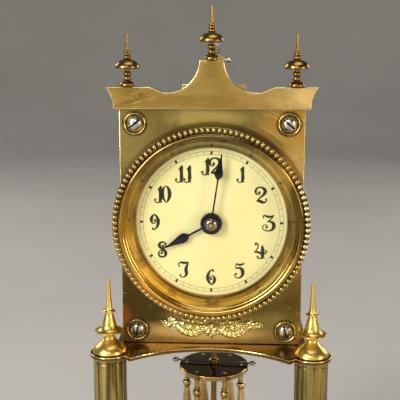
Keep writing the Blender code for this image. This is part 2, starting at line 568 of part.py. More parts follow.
piece('click', solid([(click_loop, -8.2, -6.4)], [[(click_bore, -8.2, -6.4)]]), STEEL, hang(CLICK))

# ================================================================ anchor, fork, suspension
side = [(0, 3.0), (3.0, 2.7), (8.2, 0.2), (10.4, -3.6), (10.2, -6.6), (9.17, -7.34), (7.49, -5.89), (7.2, -3.4), (4.4, -1.2),
        (1.9, -2.0), (0, -2.5)]
anchor_loop = side + [(-x, z) for x, z in reversed(side[1:-1])]
anchor = piece('anchor', solid([(circle(0.8, 6), F0, F1), (circle(1.0, 8), F1, -20.2), (anchor_loop, -20.2, -17.8),
                                (circle(1.0, 8), -17.8, -5.9), (circle(1.8, 8), -5.9, -4.1)]), STEEL, hang(ANCHOR))
shape(anchor, moved(turned([(0, 0.4), (0.6, 0.4), (0.6, 14.3), (0, 14.3)], 8), 0, -5.0, 0), 'UNION')
fork_z = P + ANCHOR[1] + 12.0
prong = [(1.9, -6.4), (1.9, -2.4), (2.9, -1.7), (2.9, 1.7)]
fork_loop = [(0.95, -6.4)] + prong + [(-x, y) for x, y in reversed(prong)] + [(-0.95, -6.4), (-0.95, -1.7), (0.95, -1.7)]
slot = rect(-1.45, 1.45, -0.5, 0.5)
piece('anchor_fork', solid([(fork_loop, fork_z, fork_z + 1.6)], [[(slot, fork_z, fork_z + 1.6)]], 'Z'), WHEEL)
strip, block = rect(-1.1, 1.1, -0.12, 0.12), rect(-2.9, 2.9, -1.5, 1.5)
piece('suspension_spring', solid([(strip, 149.6, SUSP_TOP), (block, SUSP_TOP, SUSP_TOP + 6.5)], [], 'Z'), STEEL)
tee = [(17.0, 118.0), (17.0, 133.0), (7.5, 133.0), (5.2, 137.0), (5.2, 147.5)]
tee_loop = [(x, P + z) for x, z in tee] + [(-x, P + z) for x, z in reversed(tee)]
bracket = piece('suspension_bracket', solid([(tee_loop, BACK_Y + GAP, BACK_Y + 2.5)]), BRASS)
arm = [(5.0, -7.0), (5.0, 4.0), (1.7, 4.0), (1.7, -1.6)]
arm_loop = arm + [(-x, y) for x, y in reversed(arm)]
shape(bracket, solid([(arm_loop, P + 143.2, P + 147.4)], [], 'Z'), 'UNION')
shape(bracket, moved(turned([(0, 3.0), (0.9, 3.0), (0.9, 6.9), (1.7, 6.9), (1.7, 8.7), (0, 8.7)], 12, 'X'), 0, 1.2, P + 145.4), 'UNION')

# ================================================================ pendulum
dirs = [PEND_TURN + 60 * k for k in range(6)]
seats = [(PEND_PILLAR_R * math.sin(math.radians(d)), -PEND_PILLAR_R * math.cos(math.radians(d))) for d in dirs]
zb, zt = PEND_TOP - PEND_TOP_T, PEND_TOP
rim = circle(PEND_TOP_R, 32)
piece('pendulum_top_disc', solid([(rim, zb, zt)], [[(circle(ROD_R + GAP, 10), zb, zt)]]
                                 + [[(circle(1.2, 8, x, y), zb, zt)] for x, y in seats], 'Z'), BRIGHT)
d0, d1 = PEND_DISC
piece('pendulum_disc', turned([(2.0, d0), (34.0, d0), (PEND_DISC_R, d0 + 3.0), (PEND_DISC_R, d1 - 3.0), (35.4, d1), (2.0, d1)],
                              36, closed=True), BRIGHT)
s = d1 + GAP
gallery = [(0, s), (3.4, s), (3.4, s + 1.6), (2.1, s + 3.0), (2.9, s + 4.6), (2.1, s + 6.0), (3.3, s + 8.4),
           (1.6, s + 25.2), (2.5, s + 27.8), (1.5, s + 30.4), (1.6, zb - GAP), (0.9, zb - GAP), (0.9, zt + 0.4), (0, zt + 0.4)]
for k, (x, y) in enumerate(seats):
    piece('pendulum_pillar_%d' % (k + 1), turned(gallery, 8), BRIGHT, (x, y, 0))
post = piece('pendulum_post', turned([(0, 36.5), (1.3, 37.6), (1.4, 44.0), (4.6, 44.0), (4.6, d0 - GAP), (ROD_R, d0 - GAP),
                                      (ROD_R, zt + GAP), (3.0, zt + GAP), (3.0, zt + 2.6), (ROD_R, zt + 3.6), (ROD_R, 146.0),
                                      (2.7, 147.2), (2.7, 153.5), (1.5, 153.5), (1.5, 149.0), (0, 149.0)], 12), BRIGHT)
turn = math.radians(PEND_TURN - 90)
tool = turned([(0, -5), (0.85, -5), (0.85, 5), (0, 5)], 10, 'X')
for v in tool.verts:
    x, y = v.co.x, v.co.y
    v.co.x, v.co.y = x * math.cos(turn) - y * math.sin(turn), x * math.sin(turn) + y * math.cos(turn)
shape(post, moved(tool, 0, 0, REG_Z), 'DIFFERENCE')
piece('regulator_bar', turned([(0, -24.2), (0.6, -24.2), (0.6, 24.2), (0, 24.2)], 10, 'X'), STEEL, (0, 0, REG_Z), (0, 0, turn))
for side, sx in (('left', -1), ('right', 1)):
    nut = [(0.85, -1.4), (1.35, -1.2), (1.35, 1.2), (0.85, 1.4)]
    cx = sx * 22.2
    piece('regulator_nut_' + side, turned(nut, 12, 'X', closed=True), STEEL,
          (cx * math.cos(turn), cx * math.sin(turn), REG_Z), (0, 0, turn))
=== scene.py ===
import math

import bpy
from mathutils import Matrix, Vector
from mathutils.geometry import delaunay_2d_cdt


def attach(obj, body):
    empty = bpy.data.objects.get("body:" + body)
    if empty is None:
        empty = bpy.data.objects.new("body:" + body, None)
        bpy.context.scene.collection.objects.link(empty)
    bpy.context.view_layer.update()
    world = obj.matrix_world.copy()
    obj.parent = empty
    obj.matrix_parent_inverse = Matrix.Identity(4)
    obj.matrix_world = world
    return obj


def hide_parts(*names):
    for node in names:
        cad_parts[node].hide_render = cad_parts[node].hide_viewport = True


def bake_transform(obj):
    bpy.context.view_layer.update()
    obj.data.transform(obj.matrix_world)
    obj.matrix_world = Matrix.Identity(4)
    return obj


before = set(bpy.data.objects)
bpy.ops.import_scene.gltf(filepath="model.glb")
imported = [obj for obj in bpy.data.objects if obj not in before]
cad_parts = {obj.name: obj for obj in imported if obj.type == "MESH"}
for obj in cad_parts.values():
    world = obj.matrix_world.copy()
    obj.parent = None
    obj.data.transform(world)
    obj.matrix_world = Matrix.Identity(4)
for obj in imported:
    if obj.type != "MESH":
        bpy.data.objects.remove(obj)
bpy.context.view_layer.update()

MM = 0.001
P = 128.0                       # top of the platform
DIAL_Z = 193.4                  # centre of the dial
CX, CY = 51.4, -55.4            # column axis
FRONT = -42.0                   # front face of the front plate
PX, PZ = 38.58, (P + 7.47, P + 115.57)   # pillar screws


# ================================================================ geometry helpers, all in millimetres
def spline(pts, k=6):
    """Catmull-Rom through the points, k steps for each span."""
    out = []
    n = len(pts)
    for i in range(n - 1):
        p0, p1, p2, p3 = pts[max(i - 1, 0)], pts[i], pts[i + 1], pts[min(i + 2, n - 1)]
        for s in range(k):
            t = s / k
            out.append(tuple(0.5 * (2 * b + (c - a) * t + (2 * a - 5 * b + 4 * c - d) * t * t
                                    + (3 * b - a - 3 * c + d) * t ** 3) for a, b, c, d in zip(p0, p1, p2, p3)))
    out.append(tuple(pts[-1]))
    return out


def path(*items, soft=0.12, k=6):
    """A profile: tuples are corners, which get a small round, and lists are smooth runs."""
    pts, corner = [], []
    for it in items:
        run = spline(it, k) if isinstance(it, list) else [it]
        for i, p in enumerate(run):
            if pts and abs(pts[-1][0] - p[0]) + abs(pts[-1][1] - p[1]) < 1e-6:
                continue
            pts.append(p)
            corner.append(not isinstance(it, list))
    out = []
    for i, p in enumerate(pts):
        if not corner[i] or i == 0 or i == len(pts) - 1 or soft <= 0:
            out.append(p)
            continue
        a, b = pts[i - 1], pts[i + 1]
        la, lb = math.dist(a, p), math.dist(b, p)
        d = min(soft, 0.42 * la, 0.42 * lb)
        ua, ub = ((a[0] - p[0]) / la, (a[1] - p[1]) / la), ((b[0] - p[0]) / lb, (b[1] - p[1]) / lb)
        if ua[0] * ub[0] + ua[1] * ub[1] < -0.995:
            out.append(p)
            continue
        q0, q1 = (p[0] + ua[0] * d, p[1] + ua[1] * d), (p[0] + ub[0] * d, p[1] + ub[1] * d)
        for s in range(4):
            t = s / 3
            out.append(tuple((1 - t) ** 2 * u + 2 * t * (1 - t) * v + t * t * w for u, v, w in zip(q0, p, q1)))
    return out


def lathe(prof, n=64, axis='Z', closed=False):
    """Solid of revolution from (radius, height) pairs; an open profile starts and ends on the axis."""
    place = {'Z': lambda r, t, a: (r * math.sin(a), -r * math.cos(a), t),
             'Y': lambda r, t, a: (r * math.sin(a), t, r * math.cos(a)),
             'X': lambda r, t, a: (t, r * math.sin(a), r * math.cos(a))}[axis]
    vs, rows = [], []
    for r, t in prof:
        if r < 1e-6:
            rows.append([len(vs)] * n)
            vs.append(place(0, t, 0))
        else:
            rows.append(list(range(len(vs), len(vs) + n)))
            vs += [place(r, t, 2 * math.pi * i / n) for i in range(n)]
    fs = []
    m = len(rows)
    for j in range(m if closed else m - 1):
        a, b = rows[j], rows[(j + 1) % m]
        for i in range(n):
            k = (i + 1) % n
            f = []
            for v in (a[i], a[k], b[k], b[i]):
                if v not in f:
                    f.append(v)
            if len(f) > 2:
                fs.append(f)
    return vs, fs


def circle(r, n, cx=0.0, cy=0.0):
    return [(cx + r * math.sin(2 * math.pi * i / n), cy + r * math.cos(2 * math.pi * i / n)) for i in range(n)]


def arc(cx, cy, r, a0, a1, n):
    return [(cx + r * math.cos(math.radians(a0 + (a1 - a0) * i / n)),
             cy + r * math.sin(math.radians(a0 + (a1 - a0) * i / n))) for i in range(n + 1)]


def signed(lp):
    return sum(lp[i][0] * lp[(i + 1) % len(lp)][1] - lp[(i + 1) % len(lp)][0] * lp[i][1] for i in range(len(lp))) / 2


def offset(lp, d):
    """The loop moved to its left by d; a counter-clockwise loop shrinks."""
    n, out = len(lp), []
    for i in range(n):
        (ax, ay), (bx, by), (cx, cy) = lp[i - 1], lp[i], lp[(i + 1) % n]
        l1, l2 = math.hypot(bx - ax, by - ay) or 1e-9, math.hypot(cx - bx, cy - by) or 1e-9
        n1, n2 = (-(by - ay) / l1, (bx - ax) / l1), (-(cy - by) / l2, (cx - bx) / l2)
        k = max(1 + n1[0] * n2[0] + n1[1] * n2[1], 0.35)
        out.append((bx + d * (n1[0] + n2[0]) / k, by + d * (n1[1] + n2[1]) / k))
    return out


def fill(loops):
    """Triangles between the loops, as indices into their points laid end to end."""
    pts, edges, at = [], [], 0
    for lp in loops:
        pts += [Vector(p) for p in lp]
        edges += [(at + i, at + (i + 1) % len(lp)) for i in range(len(lp))]
        at += len(lp)
    vs, _, fs, ov, _, _ = delaunay_2d_cdt(pts, edges, [], 0, 1e-9)
    name = [min(o) if o else None for o in ov]
    out = []
    for f in fs:
        cx, cy = sum(vs[i].x for i in f) / len(f), sum(vs[i].y for i in f) / len(f)
        hit = False
        for lp in loops:
            for i in range(len(lp)):
                (x0, y0), (x1, y1) = lp[i], lp[(i + 1) % len(lp)]
                if (y0 > cy) != (y1 > cy) and cx < (x1 - x0) * (cy - y0) / (y1 - y0) + x0:
                    hit = not hit
        if hit and all(name[i] is not None for i in f):
            out.append([name[i] for i in f])
    return out


def slab(outer, holes, t0, t1, b0=0.2, b1=0.2, axis='Y', seg=3):
    """A flat plate with rounded edges: b0 and b1 are the rounds at t0 and t1. Returns points, faces and the faces of the rounds."""
    loops = [outer if signed(outer) > 0 else outer[::-1]] + [h if signed(h) < 0 else h[::-1] for h in holes]
    levels = [(b0 * (1 - math.sin(math.pi / 2 * s / seg)), t0 + b0 * (1 - math.cos(math.pi / 2 * s / seg)))
              for s in range(seg + 1)] if b0 > 0 else [(0, t0)]
    levels += [(b1 * (1 - math.cos(math.pi / 2 * s / seg)), t1 - b1 * (1 - math.sin(math.pi / 2 * s / seg)))
               for s in range(seg + 1)] if b1 > 0 else [(0, t1)]
    put = (lambda x, z, t: (x, t, z)) if axis == 'Y' else (lambda x, z, t: (x, z, t)) if axis == 'Z' \
        else (lambda x, z, t: (t, x, z))
    total = sum(len(lp) for lp in loops)
    vs, fs, soft = [], [], []
    rings = []
    for d, t in levels:
        ring = [offset(lp, d) if d > 1e-7 else lp for lp in loops]
        rings.append(ring)
        vs += [put(x, z, t) for lp in ring for x, z in lp]
    for j in range(len(levels) - 1):
        at = 0
        for lp in loops:
            n = len(lp)
            for i in range(n):
                k = (i + 1) % n
                fs.append([j * total + at + i, j * total + at + k, (j + 1) * total + at + k, (j + 1) * total + at + i])
                if (b0 > 0 and j < seg) or (b1 > 0 and j >= len(levels) - 1 - seg):
                    soft.append(len(fs) - 1)
            at += n
    for f in fill(rings[0]):
        fs.append(f[::-1])
    base = (len(levels) - 1) * total
    for f in fill(rings[-1]):
        fs.append([base + i for i in f])
    return vs, fs, soft


def shift(vs, dx=0.0, dy=0.0, dz=0.0):
    return [(x + dx, y + dy, z + dz) for x, y, z in vs]


def spin(vs, deg, axis='Y'):
    """Turned about an axis through the origin; about Y a positive angle is clockwise seen from the front."""
    c, s = math.cos(math.radians(deg)), math.sin(math.radians(deg))
    if axis == 'Y':
        return [(c * x + s * z, y, -s * x + c * z) for x, y, z in vs]
    return [(c * x - s * y, s * x + c * y, z) for x, y, z in vs]


def join(*parts):
    vs, fs = [], []
    for p in parts:
        at = len(vs)
        vs += p[0]
        fs += [[i + at for i in f] for f in p[1]]
    return vs, fs


def ball(x, y, z, rx, ry=None, rz=None, n=16, m=8):
    ry, rz = ry or rx, rz or rx
    prof = [(math.sin(math.pi * i / m), -math.cos(math.pi * i / m)) for i in range(m + 1)]
    prof[0], prof[-1] = (0, -1), (0, 1)
    vs, fs = lathe(prof, n)
    return [(x + rx * a, y + ry * b, z + rz * c) for a, b, c in vs], fs


def tube(pts, radii, n=10):
    """A closed tube along 3-D points with a radius at each."""
    vs, fs, m = [], [], len(pts)
    up = Vector((0, -1, 0))
    for i in range(m):
        a, b = Vector(pts[max(i - 1, 0)]), Vector(pts[min(i + 1, m - 1)])
        t = (b - a).normalized()
        u = (up - t * up.dot(t))
        u = u.normalized() if u.length > 1e-6 else Vector((1, 0, 0))
        w = t.cross(u)
        for k in range(n):
            an = 2 * math.pi * k / n
            vs.append(tuple(Vector(pts[i]) + (u * math.cos(an) + w * math.sin(an)) * radii[i]))
    for i in range(m - 1):
        for k in range(n):
            q = (k + 1) % n
            fs.append([i * n + k, i * n + q, (i + 1) * n + q, (i + 1) * n + k])
    fs.append([k for k in range(n)][::-1])
    fs.append([(m - 1) * n + k for k in range(n)])
    return vs, fs


def outward(me):
    vol = 0.0
    for p in me.polygons:
        v = [me.vertices[i].co for i in p.vertices]
        for i in range(1, len(v) - 1):
            vol += v[0].dot(v[i].cross(v[i + 1]))
    if vol < 0:
        me.flip_normals()


def piece(name, geo, mat, body='frame', rep=(), at=(0, 0, 0), smooth=38.0, edge=None):
    """Makes one object of the clock from points and faces in millimetres."""
    vs, fs = geo[0], geo[1]
    me = bpy.data.meshes.new(name)
    me.from_pydata([((x + at[0]) * MM, (y + at[1]) * MM, (z + at[2]) * MM) for x, y, z in vs], [], fs)
    me.validate()
    ob = bpy.data.objects.new(name, me)
    bpy.context.scene.collection.objects.link(ob)
    me.materials.append(mat)
    if edge is not None and len(geo) > 2:
        me.materials.append(edge)
        for i in geo[2]:
            me.polygons[i].material_index = 1
    outward(me)
    me.shade_smooth()
    me.set_sharp_from_angle(angle=math.radians(smooth))
    if body:
        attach(ob, body)
    if rep:
        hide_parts(*([rep] if isinstance(rep, str) else rep))
    return ob


# ================================================================ materials
class Nodes:
    def __init__(self, name):
        self.mat = bpy.data.materials.new(name)
        self.mat.use_nodes = True
        self.t = self.mat.node_tree
        self.t.nodes.clear()
        self.out = self.t.nodes.new('ShaderNodeOutputMaterial')
        self.bsdf = self.t.nodes.new('ShaderNodeBsdfPrincipled')
        self.t.links.new(self.bsdf.outputs[0], self.out.inputs['Surface'])
        co = self.t.nodes.new('ShaderNodeTexCoord')
        sc = self.t.nodes.new('ShaderNodeVectorMath')
        sc.operation = 'SCALE'
        sc.inputs['Scale'].default_value = 1000.0
        self.t.links.new(co.outputs['Object'], sc.inputs[0])
        self.mm = sc.outputs[0]

    def link(self, a, b):
        if hasattr(a, 'is_linked') or hasattr(a, 'node'):
            self.t.links.new(a, b)
        else:
            b.default_value = a

    def maths(self, op, a, b=0.0, c=None, clamp=False):
        n = self.t.nodes.new('ShaderNodeMath')
        n.operation = op
        n.use_clamp = clamp
        self.link(a, n.inputs[0])
        self.link(b, n.inputs[1])
        if c is not None:
            self.link(c, n.inputs[2])
        return n.outputs[0]

    def stretch(self, scale, rot=(0, 0, 0), vec=None):
        n = self.t.nodes.new('ShaderNodeMapping')
        n.inputs['Scale'].default_value = scale
        n.inputs['Rotation'].default_value = rot
        self.link(vec or self.mm, n.inputs['Vector'])
        return n.outputs[0]

    def noise(self, scale, detail=4.0, rough=0.55, vec=None, distort=0.0):
        n = self.t.nodes.new('ShaderNodeTexNoise')
        n.inputs['Scale'].default_value = scale
        n.inputs['Detail'].default_value = detail
        n.inputs['Roughness'].default_value = rough
        n.inputs['Distortion'].default_value = distort
        self.link(vec or self.mm, n.inputs['Vector'])
        return n.outputs['Fac']

    def ramp(self, fac, *stops):
        n = self.t.nodes.new('ShaderNodeMapRange')
        n.clamp = True
        n.interpolation_type = 'SMOOTHSTEP'
        lo, hi, a, b = stops
        self.link(fac, n.inputs['Value'])
        n.inputs['From Min'].default_value = lo
        n.inputs['From Max'].default_value = hi
        n.inputs['To Min'].default_value = a
        n.inputs['To Max'].default_value = b
        return n.outputs['Result']

    def mix(self, fac, a, b, mode='MIX'):
        n = self.t.nodes.new('ShaderNodeMix')
        n.data_type = 'RGBA'
        n.blend_type = mode
        self.link(fac, n.inputs[0])
        self.link(a if not isinstance(a, tuple) else tuple(a) + (1.0,), n.inputs[6])
        self.link(b if not isinstance(b, tuple) else tuple(b) + (1.0,), n.inputs[7])
        return n.outputs[2]

    # ambient occlusion within one object; the darkening it drives is painted shade in recesses and creases
    def hollow(self, dist, inside=False):
        n = self.t.nodes.new('ShaderNodeAmbientOcclusion')
        n.samples = 4
        n.only_local = True
        n.inside = inside
        n.inputs['Distance'].default_value = dist * MM
        return n.outputs['AO']

    def bump(self, height, strength, dist, normal=None):
        n = self.t.nodes.new('ShaderNodeBump')
        n.inputs['Strength'].default_value = strength
        n.inputs['Distance'].default_value = dist * MM
        self.link(height, n.inputs['Height'])
        if normal is not None:
            self.link(normal, n.inputs['Normal'])
        return n.outputs[0]

    def scratches(self, angle, scale, width, seed):
        """Long thin lines in the plane of a plate, broken up by a coarse mask."""
        v = self.stretch((scale * 0.045, scale * 0.045, scale), (0, math.radians(angle), 0))
        vor = self.t.nodes.new('ShaderNodeTexVoronoi')
        vor.feature = 'DISTANCE_TO_EDGE'
        vor.inputs['Scale'].default_value = 1.0
        vor.inputs['Randomness'].default_value = 1.0
        add = self.t.nodes.new('ShaderNodeVectorMath')
        add.operation = 'ADD'
        add.inputs[1].default_value = (seed, seed * 1.7, seed * 0.6)
        self.link(v, add.inputs[0])
        self.link(add.outputs[0], vor.inputs['Vector'])
        line = self.ramp(vor.outputs['Distance'], 0.0, width, 1.0, 0.0)
        mask = self.ramp(self.noise(0.05 + seed * 0.003, 2.0, 0.5), 0.52, 0.66, 0.0, 1.0)
        return self.maths('MULTIPLY', line, mask)


def brass(name, light, dark, rough=(0.2, 0.42), grain=(0.4, 7.0, 7.0), patina=0.5, hollow=(1.6, 0.55), scratch=0.0,
          edge=0.35, tarnish_and_shade=(0.10, 0.07, 0.03), blotch=0.055, bump=0.05, swirl=None, painted_light_patches=(), rings=(), painted_reflection_arcs=(), speck=0.2, relief=1.0, streak=1.0,
          grain_reflection_bands=0.0):
    """Brass with patina in three sizes, wear at its edges, dirt and painted shade in its recesses, dark rings of dirt
    and painted shade, patches of painted light and shade, painted reflection streaks on round paths, and scratches or
    lathe lines.
    """
    m = Nodes(name)
    big = m.noise(blotch, 5.0, 0.62, distort=0.4)
    mid = m.noise(0.45, 5.0, 0.6)
    fine = m.noise(1.5, 3.0, 0.6)
    sep = m.t.nodes.new('ShaderNodeSeparateXYZ')
    m.link(m.mm, sep.inputs[0])

    def around(cx, cz, rx=1.0, rz=1.0):
        dx = m.maths('DIVIDE', m.maths('SUBTRACT', sep.outputs[0], cx), rx)
        dz = m.maths('DIVIDE', m.maths('SUBTRACT', sep.outputs[2], cz), rz)
        return dx, dz, m.maths('SQRT', m.maths('ADD', m.maths('MULTIPLY', dx, dx), m.maths('MULTIPLY', dz, dz)))

    def turned(cx, cz, close):
        dx, dz, rr = around(cx, cz)
        com = m.t.nodes.new('ShaderNodeCombineXYZ')
        m.link(m.maths('MULTIPLY', rr, close), com.inputs[0])
        m.link(m.maths('MULTIPLY', sep.outputs[1], 2.0), com.inputs[1])
        m.link(m.maths('MULTIPLY', m.maths('ARCTAN2', dx, dz), 2.5), com.inputs[2])
        return m.noise(1.0, 3.0, 0.6, vec=com.outputs[0]), rr

    if swirl:                   # grain that runs round an axis parallel to Y, as on a spun piece
        lines, _ = turned(swirl[0], swirl[1], 3.0)
    else:
        lines = m.noise(1.0, 3.0, 0.65, vec=m.stretch(grain))
    stain = m.maths('ADD', m.ramp(big, 0.36, 0.66, 0.0, 0.75), m.ramp(mid, 0.45, 0.72, 0.0, 0.35))
    stain = m.maths('MULTIPLY', stain, patina, clamp=True)
    col = m.mix(stain, light, dark)
    col = m.mix(m.ramp(fine, 0.62, 0.76, 0.0, speck), col, tarnish_and_shade)
    col = m.mix(m.ramp(lines, 0.35, 0.65, 0.0, 0.16 * streak), col, tuple(min(1, c * 1.25) for c in light))
    # dark streaks along the grain lines: partly grain, partly painted reflection streaks
    if grain_reflection_bands:
        col = m.mix(m.ramp(lines, 0.46, 0.58, 0.0, grain_reflection_bands), col, tarnish_and_shade)
    # painted light and shade: soft patches of lighter and darker colour that stand in for highlights, reflections and
    # shade
    for tx, tz, rx, rz, colour, amount in painted_light_patches:
        d = m.maths('ADD', around(tx, tz, rx, rz)[2], m.ramp(big, 0.3, 0.7, -0.25, 0.25))
        col = m.mix(m.ramp(d, 0.3, 1.1, amount, 0.0), col, colour)
    # painted reflection: a bright curved streak, the reflection of a round part painted on a flat face
    for cx, cz, bx, bz, br, colour, amount in painted_reflection_arcs:
        sweep, rr = turned(cx, cz, 1.7)
        d = m.maths('ADD', around(bx, bz, br, br)[2], m.ramp(mid, 0.3, 0.7, -0.2, 0.2))
        reflection_arc_mask = m.maths('MULTIPLY', m.ramp(sweep, 0.54, 0.66, 0.0, 1.0), m.ramp(d, 0.3, 1.0, amount, 0.0))
        col = m.mix(reflection_arc_mask, col, colour)
    if scratch:
        s1 = m.scratches(34, 0.9, 0.020, 3.1)
        s2 = m.scratches(-52, 0.7, 0.022, 7.7)
        s3 = m.scratches(12, 1.1, 0.018, 11.3)
        sc = m.maths('MULTIPLY', m.maths('MAXIMUM', m.maths('MAXIMUM', s1, s2), s3), scratch)
        col = m.mix(sc, col, tuple(min(1, c * 1.6) for c in light))
    # dark rings round a centre: dirt and painted shade where parts meet
    for cx, cz, r0, r1, amount in rings:
        rr = around(cx, cz)[2]
        col = m.mix(m.maths('MULTIPLY', m.ramp(rr, r0 - 0.3, r0, 0.0, amount), m.ramp(rr, r1 - 0.6, r1, 1.0, 0.0)), col, tarnish_and_shade)
    # darker in recesses and creases: dirt and painted shade
    if hollow:
        ao = m.ramp(m.hollow(hollow[0]), 0.25, 0.95, hollow[1], 0.0)
        col = m.mix(ao, col, tarnish_and_shade)
    if edge:
        g = m.t.nodes.new('ShaderNodeNewGeometry')
        w = m.maths('MULTIPLY', m.ramp(g.outputs['Pointiness'], 0.515, 0.56, 0.0, 1.0), m.ramp(mid, 0.3, 0.6, 0.5, 1.0))
        col = m.mix(m.maths('MULTIPLY', w, edge), col, tuple(min(1, c * 1.4) for c in light))
    m.link(col, m.bsdf.inputs['Base Color'])
    m.bsdf.inputs['Metallic'].default_value = 1.0
    ro = m.maths('ADD', m.ramp(m.maths('ADD', m.maths('MULTIPLY', big, 0.5), m.maths('MULTIPLY', mid, 0.5)), 0.35, 0.68,
                               rough[0], rough[1]), m.ramp(lines, 0.3, 0.7, -0.03 * streak, 0.05 * streak))
    if hollow:
        ro = m.maths('ADD', ro, m.maths('MULTIPLY', ao, 0.25))
    m.link(ro, m.bsdf.inputs['Roughness'])
    nrm = m.bump(lines, bump, 0.02)
    nrm = m.bump(mid, 0.06 * relief, 0.05, nrm)
    nrm = m.bump(fine, 0.03 * relief, 0.02, nrm)
    if scratch:
        nrm = m.bump(m.maths('SUBTRACT', 1.0, sc), 0.25 * relief, 0.02, nrm)
    m.link(nrm, m.bsdf.inputs['Normal'])
    return m.mat


def steel(name, light, dark, rough=(0.16, 0.34), grain=(7.0, 0.5, 7.0), blotch=0.5, coat=0.0, hollow=0.5):
    m = Nodes(name)
    lines = m.noise(1.0, 3.0, 0.6, vec=m.stretch(grain))
    mid = m.noise(blotch, 5.0, 0.65)
    fine = m.noise(5.0, 3.0, 0.6)
    col = m.mix(m.ramp(mid, 0.38, 0.68, 0.0, 0.9), light, dark)
    col = m.mix(m.ramp(fine, 0.62, 0.72, 0.0, 0.5), col, tuple(c * 0.35 for c in dark))
    # darker in recesses and creases: dirt and painted shade
    if hollow:
        col = m.mix(m.ramp(m.hollow(1.0), 0.25, 0.95, hollow, 0.0), col, (0.03, 0.025, 0.02))
    m.link(col, m.bsdf.inputs['Base Color'])
    m.bsdf.inputs['Metallic'].default_value = 1.0
    m.bsdf.inputs['Coat Weight'].default_value = coat
    m.bsdf.inputs['Coat Roughness'].default_value = 0.08
    m.link(m.maths('ADD', m.ramp(mid, 0.35, 0.7, rough[0], rough[1]), m.ramp(lines, 0.3, 0.7, -0.03, 0.05)),
           m.bsdf.inputs['Roughness'])
    nrm = m.bump(lines, 0.12, 0.02)
    m.link(m.bump(fine, 0.06, 0.02, nrm), m.bsdf.inputs['Normal'])
    return m.mat


SCREWS = [(sx * PX, z) for sx in (-1, 1) for z in PZ]
# dirt and painted shade in a ring round each pillar screw, where the washers meet the plate
GRIME_AND_SHADE = [(x, z, 5.45, 6.9, 0.75) for x, z in SCREWS]
# PLATE: the patches paint the plate's light and shade: near-black painted shade at the lower left with a red-brown
# patch at its edge, a dark band of painted shade low across the plate, a bright amber band of painted light along its
# foot, a bright amber painted reflection down the right side, painted shade at the lower right, orange and pale painted
# light along the top and a paler patch at the upper left; the bright curve at the upper right is a painted reflection
# of the bezel, and the ring round the bezel is dirt and painted shade.
PLATE = brass('plate_brass', (0.37, 0.275, 0.08), (0.265, 0.195, 0.055), rough=(0.27, 0.34), grain=(0.10, 0.7, 0.7), patina=0.8, streak=0.5,
              scratch=0.7, edge=0.0, blotch=0.03, speck=0.22, bump=0.012, relief=0.25, rings=GRIME_AND_SHADE + [(0, DIAL_Z, 46.8, 51.5, 0.5)],
              painted_light_patches=((-44, 146, 26, 34, (0.065, 0.04, 0.009), 0.92), (10, 149, 54, 9, (0.11, 0.067, 0.014), 0.78), (0, 131, 80, 8, (1.0, 0.62, 0.19), 0.9),
                     (45, 205, 15, 48, (1.0, 0.62, 0.15), 0.85), (44, 152, 12, 22, (0.14, 0.085, 0.016), 0.75), (38, 243, 24, 14, (0.74, 0.39, 0.045), 0.8),
                     (0, 246, 30, 7, (0.92, 0.67, 0.19), 0.72), (-42, 236, 18, 20, (0.54, 0.42, 0.13), 0.5), (-47, 140, 6, 10, (0.50, 0.17, 0.03), 0.7)),
              painted_reflection_arcs=((0, DIAL_Z, 34, 236, 26, (0.98, 0.82, 0.44), 0.75),))
# the ring round each screw on the back plate is dirt and painted shade
BACKP = brass('back_brass', (0.60, 0.44, 0.14), (0.42, 0.30, 0.09), rough=(0.25, 0.34), grain=(0.10, 0.7, 0.7), patina=0.7, streak=0.5,
              scratch=0.7, edge=0.0, blotch=0.03, speck=0.2, bump=0.012, relief=0.25, rings=[(x, z, 5.45, 6.4, 0.25) for x, z in SCREWS])
# PEDI: the patches paint light and shade across the pediment: a bright amber painted highlight at the right, painted
# shade at the left and a warmer patch right of centre.
PEDI = brass('pediment_brass', (0.52, 0.34, 0.087), (0.39, 0.245, 0.06), rough=(0.29, 0.37), grain=(0.10, 0.7, 0.7), patina=0.75, streak=0.5,
             scratch=0.9, edge=0.0, blotch=0.05, bump=0.015, relief=0.3, speck=0.28,
             painted_light_patches=((48, 257, 22, 14, (0.96, 0.70, 0.27), 0.85), (-45, 256, 24, 14, (0.26, 0.16, 0.033), 0.85), (22, 258, 16, 9, (0.66, 0.42, 0.14), 0.6)))
# the platform takes a copy of the plate brass made far darker: a shaded copy, painted shade on its top
PLAT = brass('platform_brass_shaded', (0.21, 0.13, 0.027), (0.125, 0.070, 0.014), rough=(0.20, 0.32), grain=(0.3, 0.1, 0.3), patina=0.8, streak=0.5,
             scratch=0.4, edge=0.0, blotch=0.05, bump=0.02, relief=0.4)
# the rounded edges of the plates, platform, pediment and suspension take this far lighter brass: edge wear, and a
# painted highlight along every edge
EDGE_WEAR_SHEEN = brass('edge_brass_worn_lit', (0.88, 0.72, 0.36), (0.60, 0.46, 0.19), rough=(0.16, 0.3), patina=0.6, edge=0.0, hollow=None)
TURNED = brass('turned_brass', (0.33, 0.20, 0.055), (0.20, 0.12, 0.03), rough=(0.18, 0.30), grain=(0.2, 0.2, 3.0), patina=0.7,
               edge=0.0, hollow=(1.3, 0.9), tarnish_and_shade=(0.05, 0.035, 0.015), speck=0.1, bump=0.02, relief=0.4)
# the column spires take a copy of the turned brass made far lighter than TURNED: a lit copy, a painted highlight on
# their domes
SPIRE = brass('spire_brass_lit', (0.92, 0.64, 0.165), (0.54, 0.355, 0.085), rough=(0.24, 0.36), grain=(0.2, 0.2, 3.0), patina=0.7,
              edge=0.0, hollow=(1.5, 0.85), tarnish_and_shade=(0.06, 0.042, 0.015), speck=0.1, bump=0.03, relief=0.5)
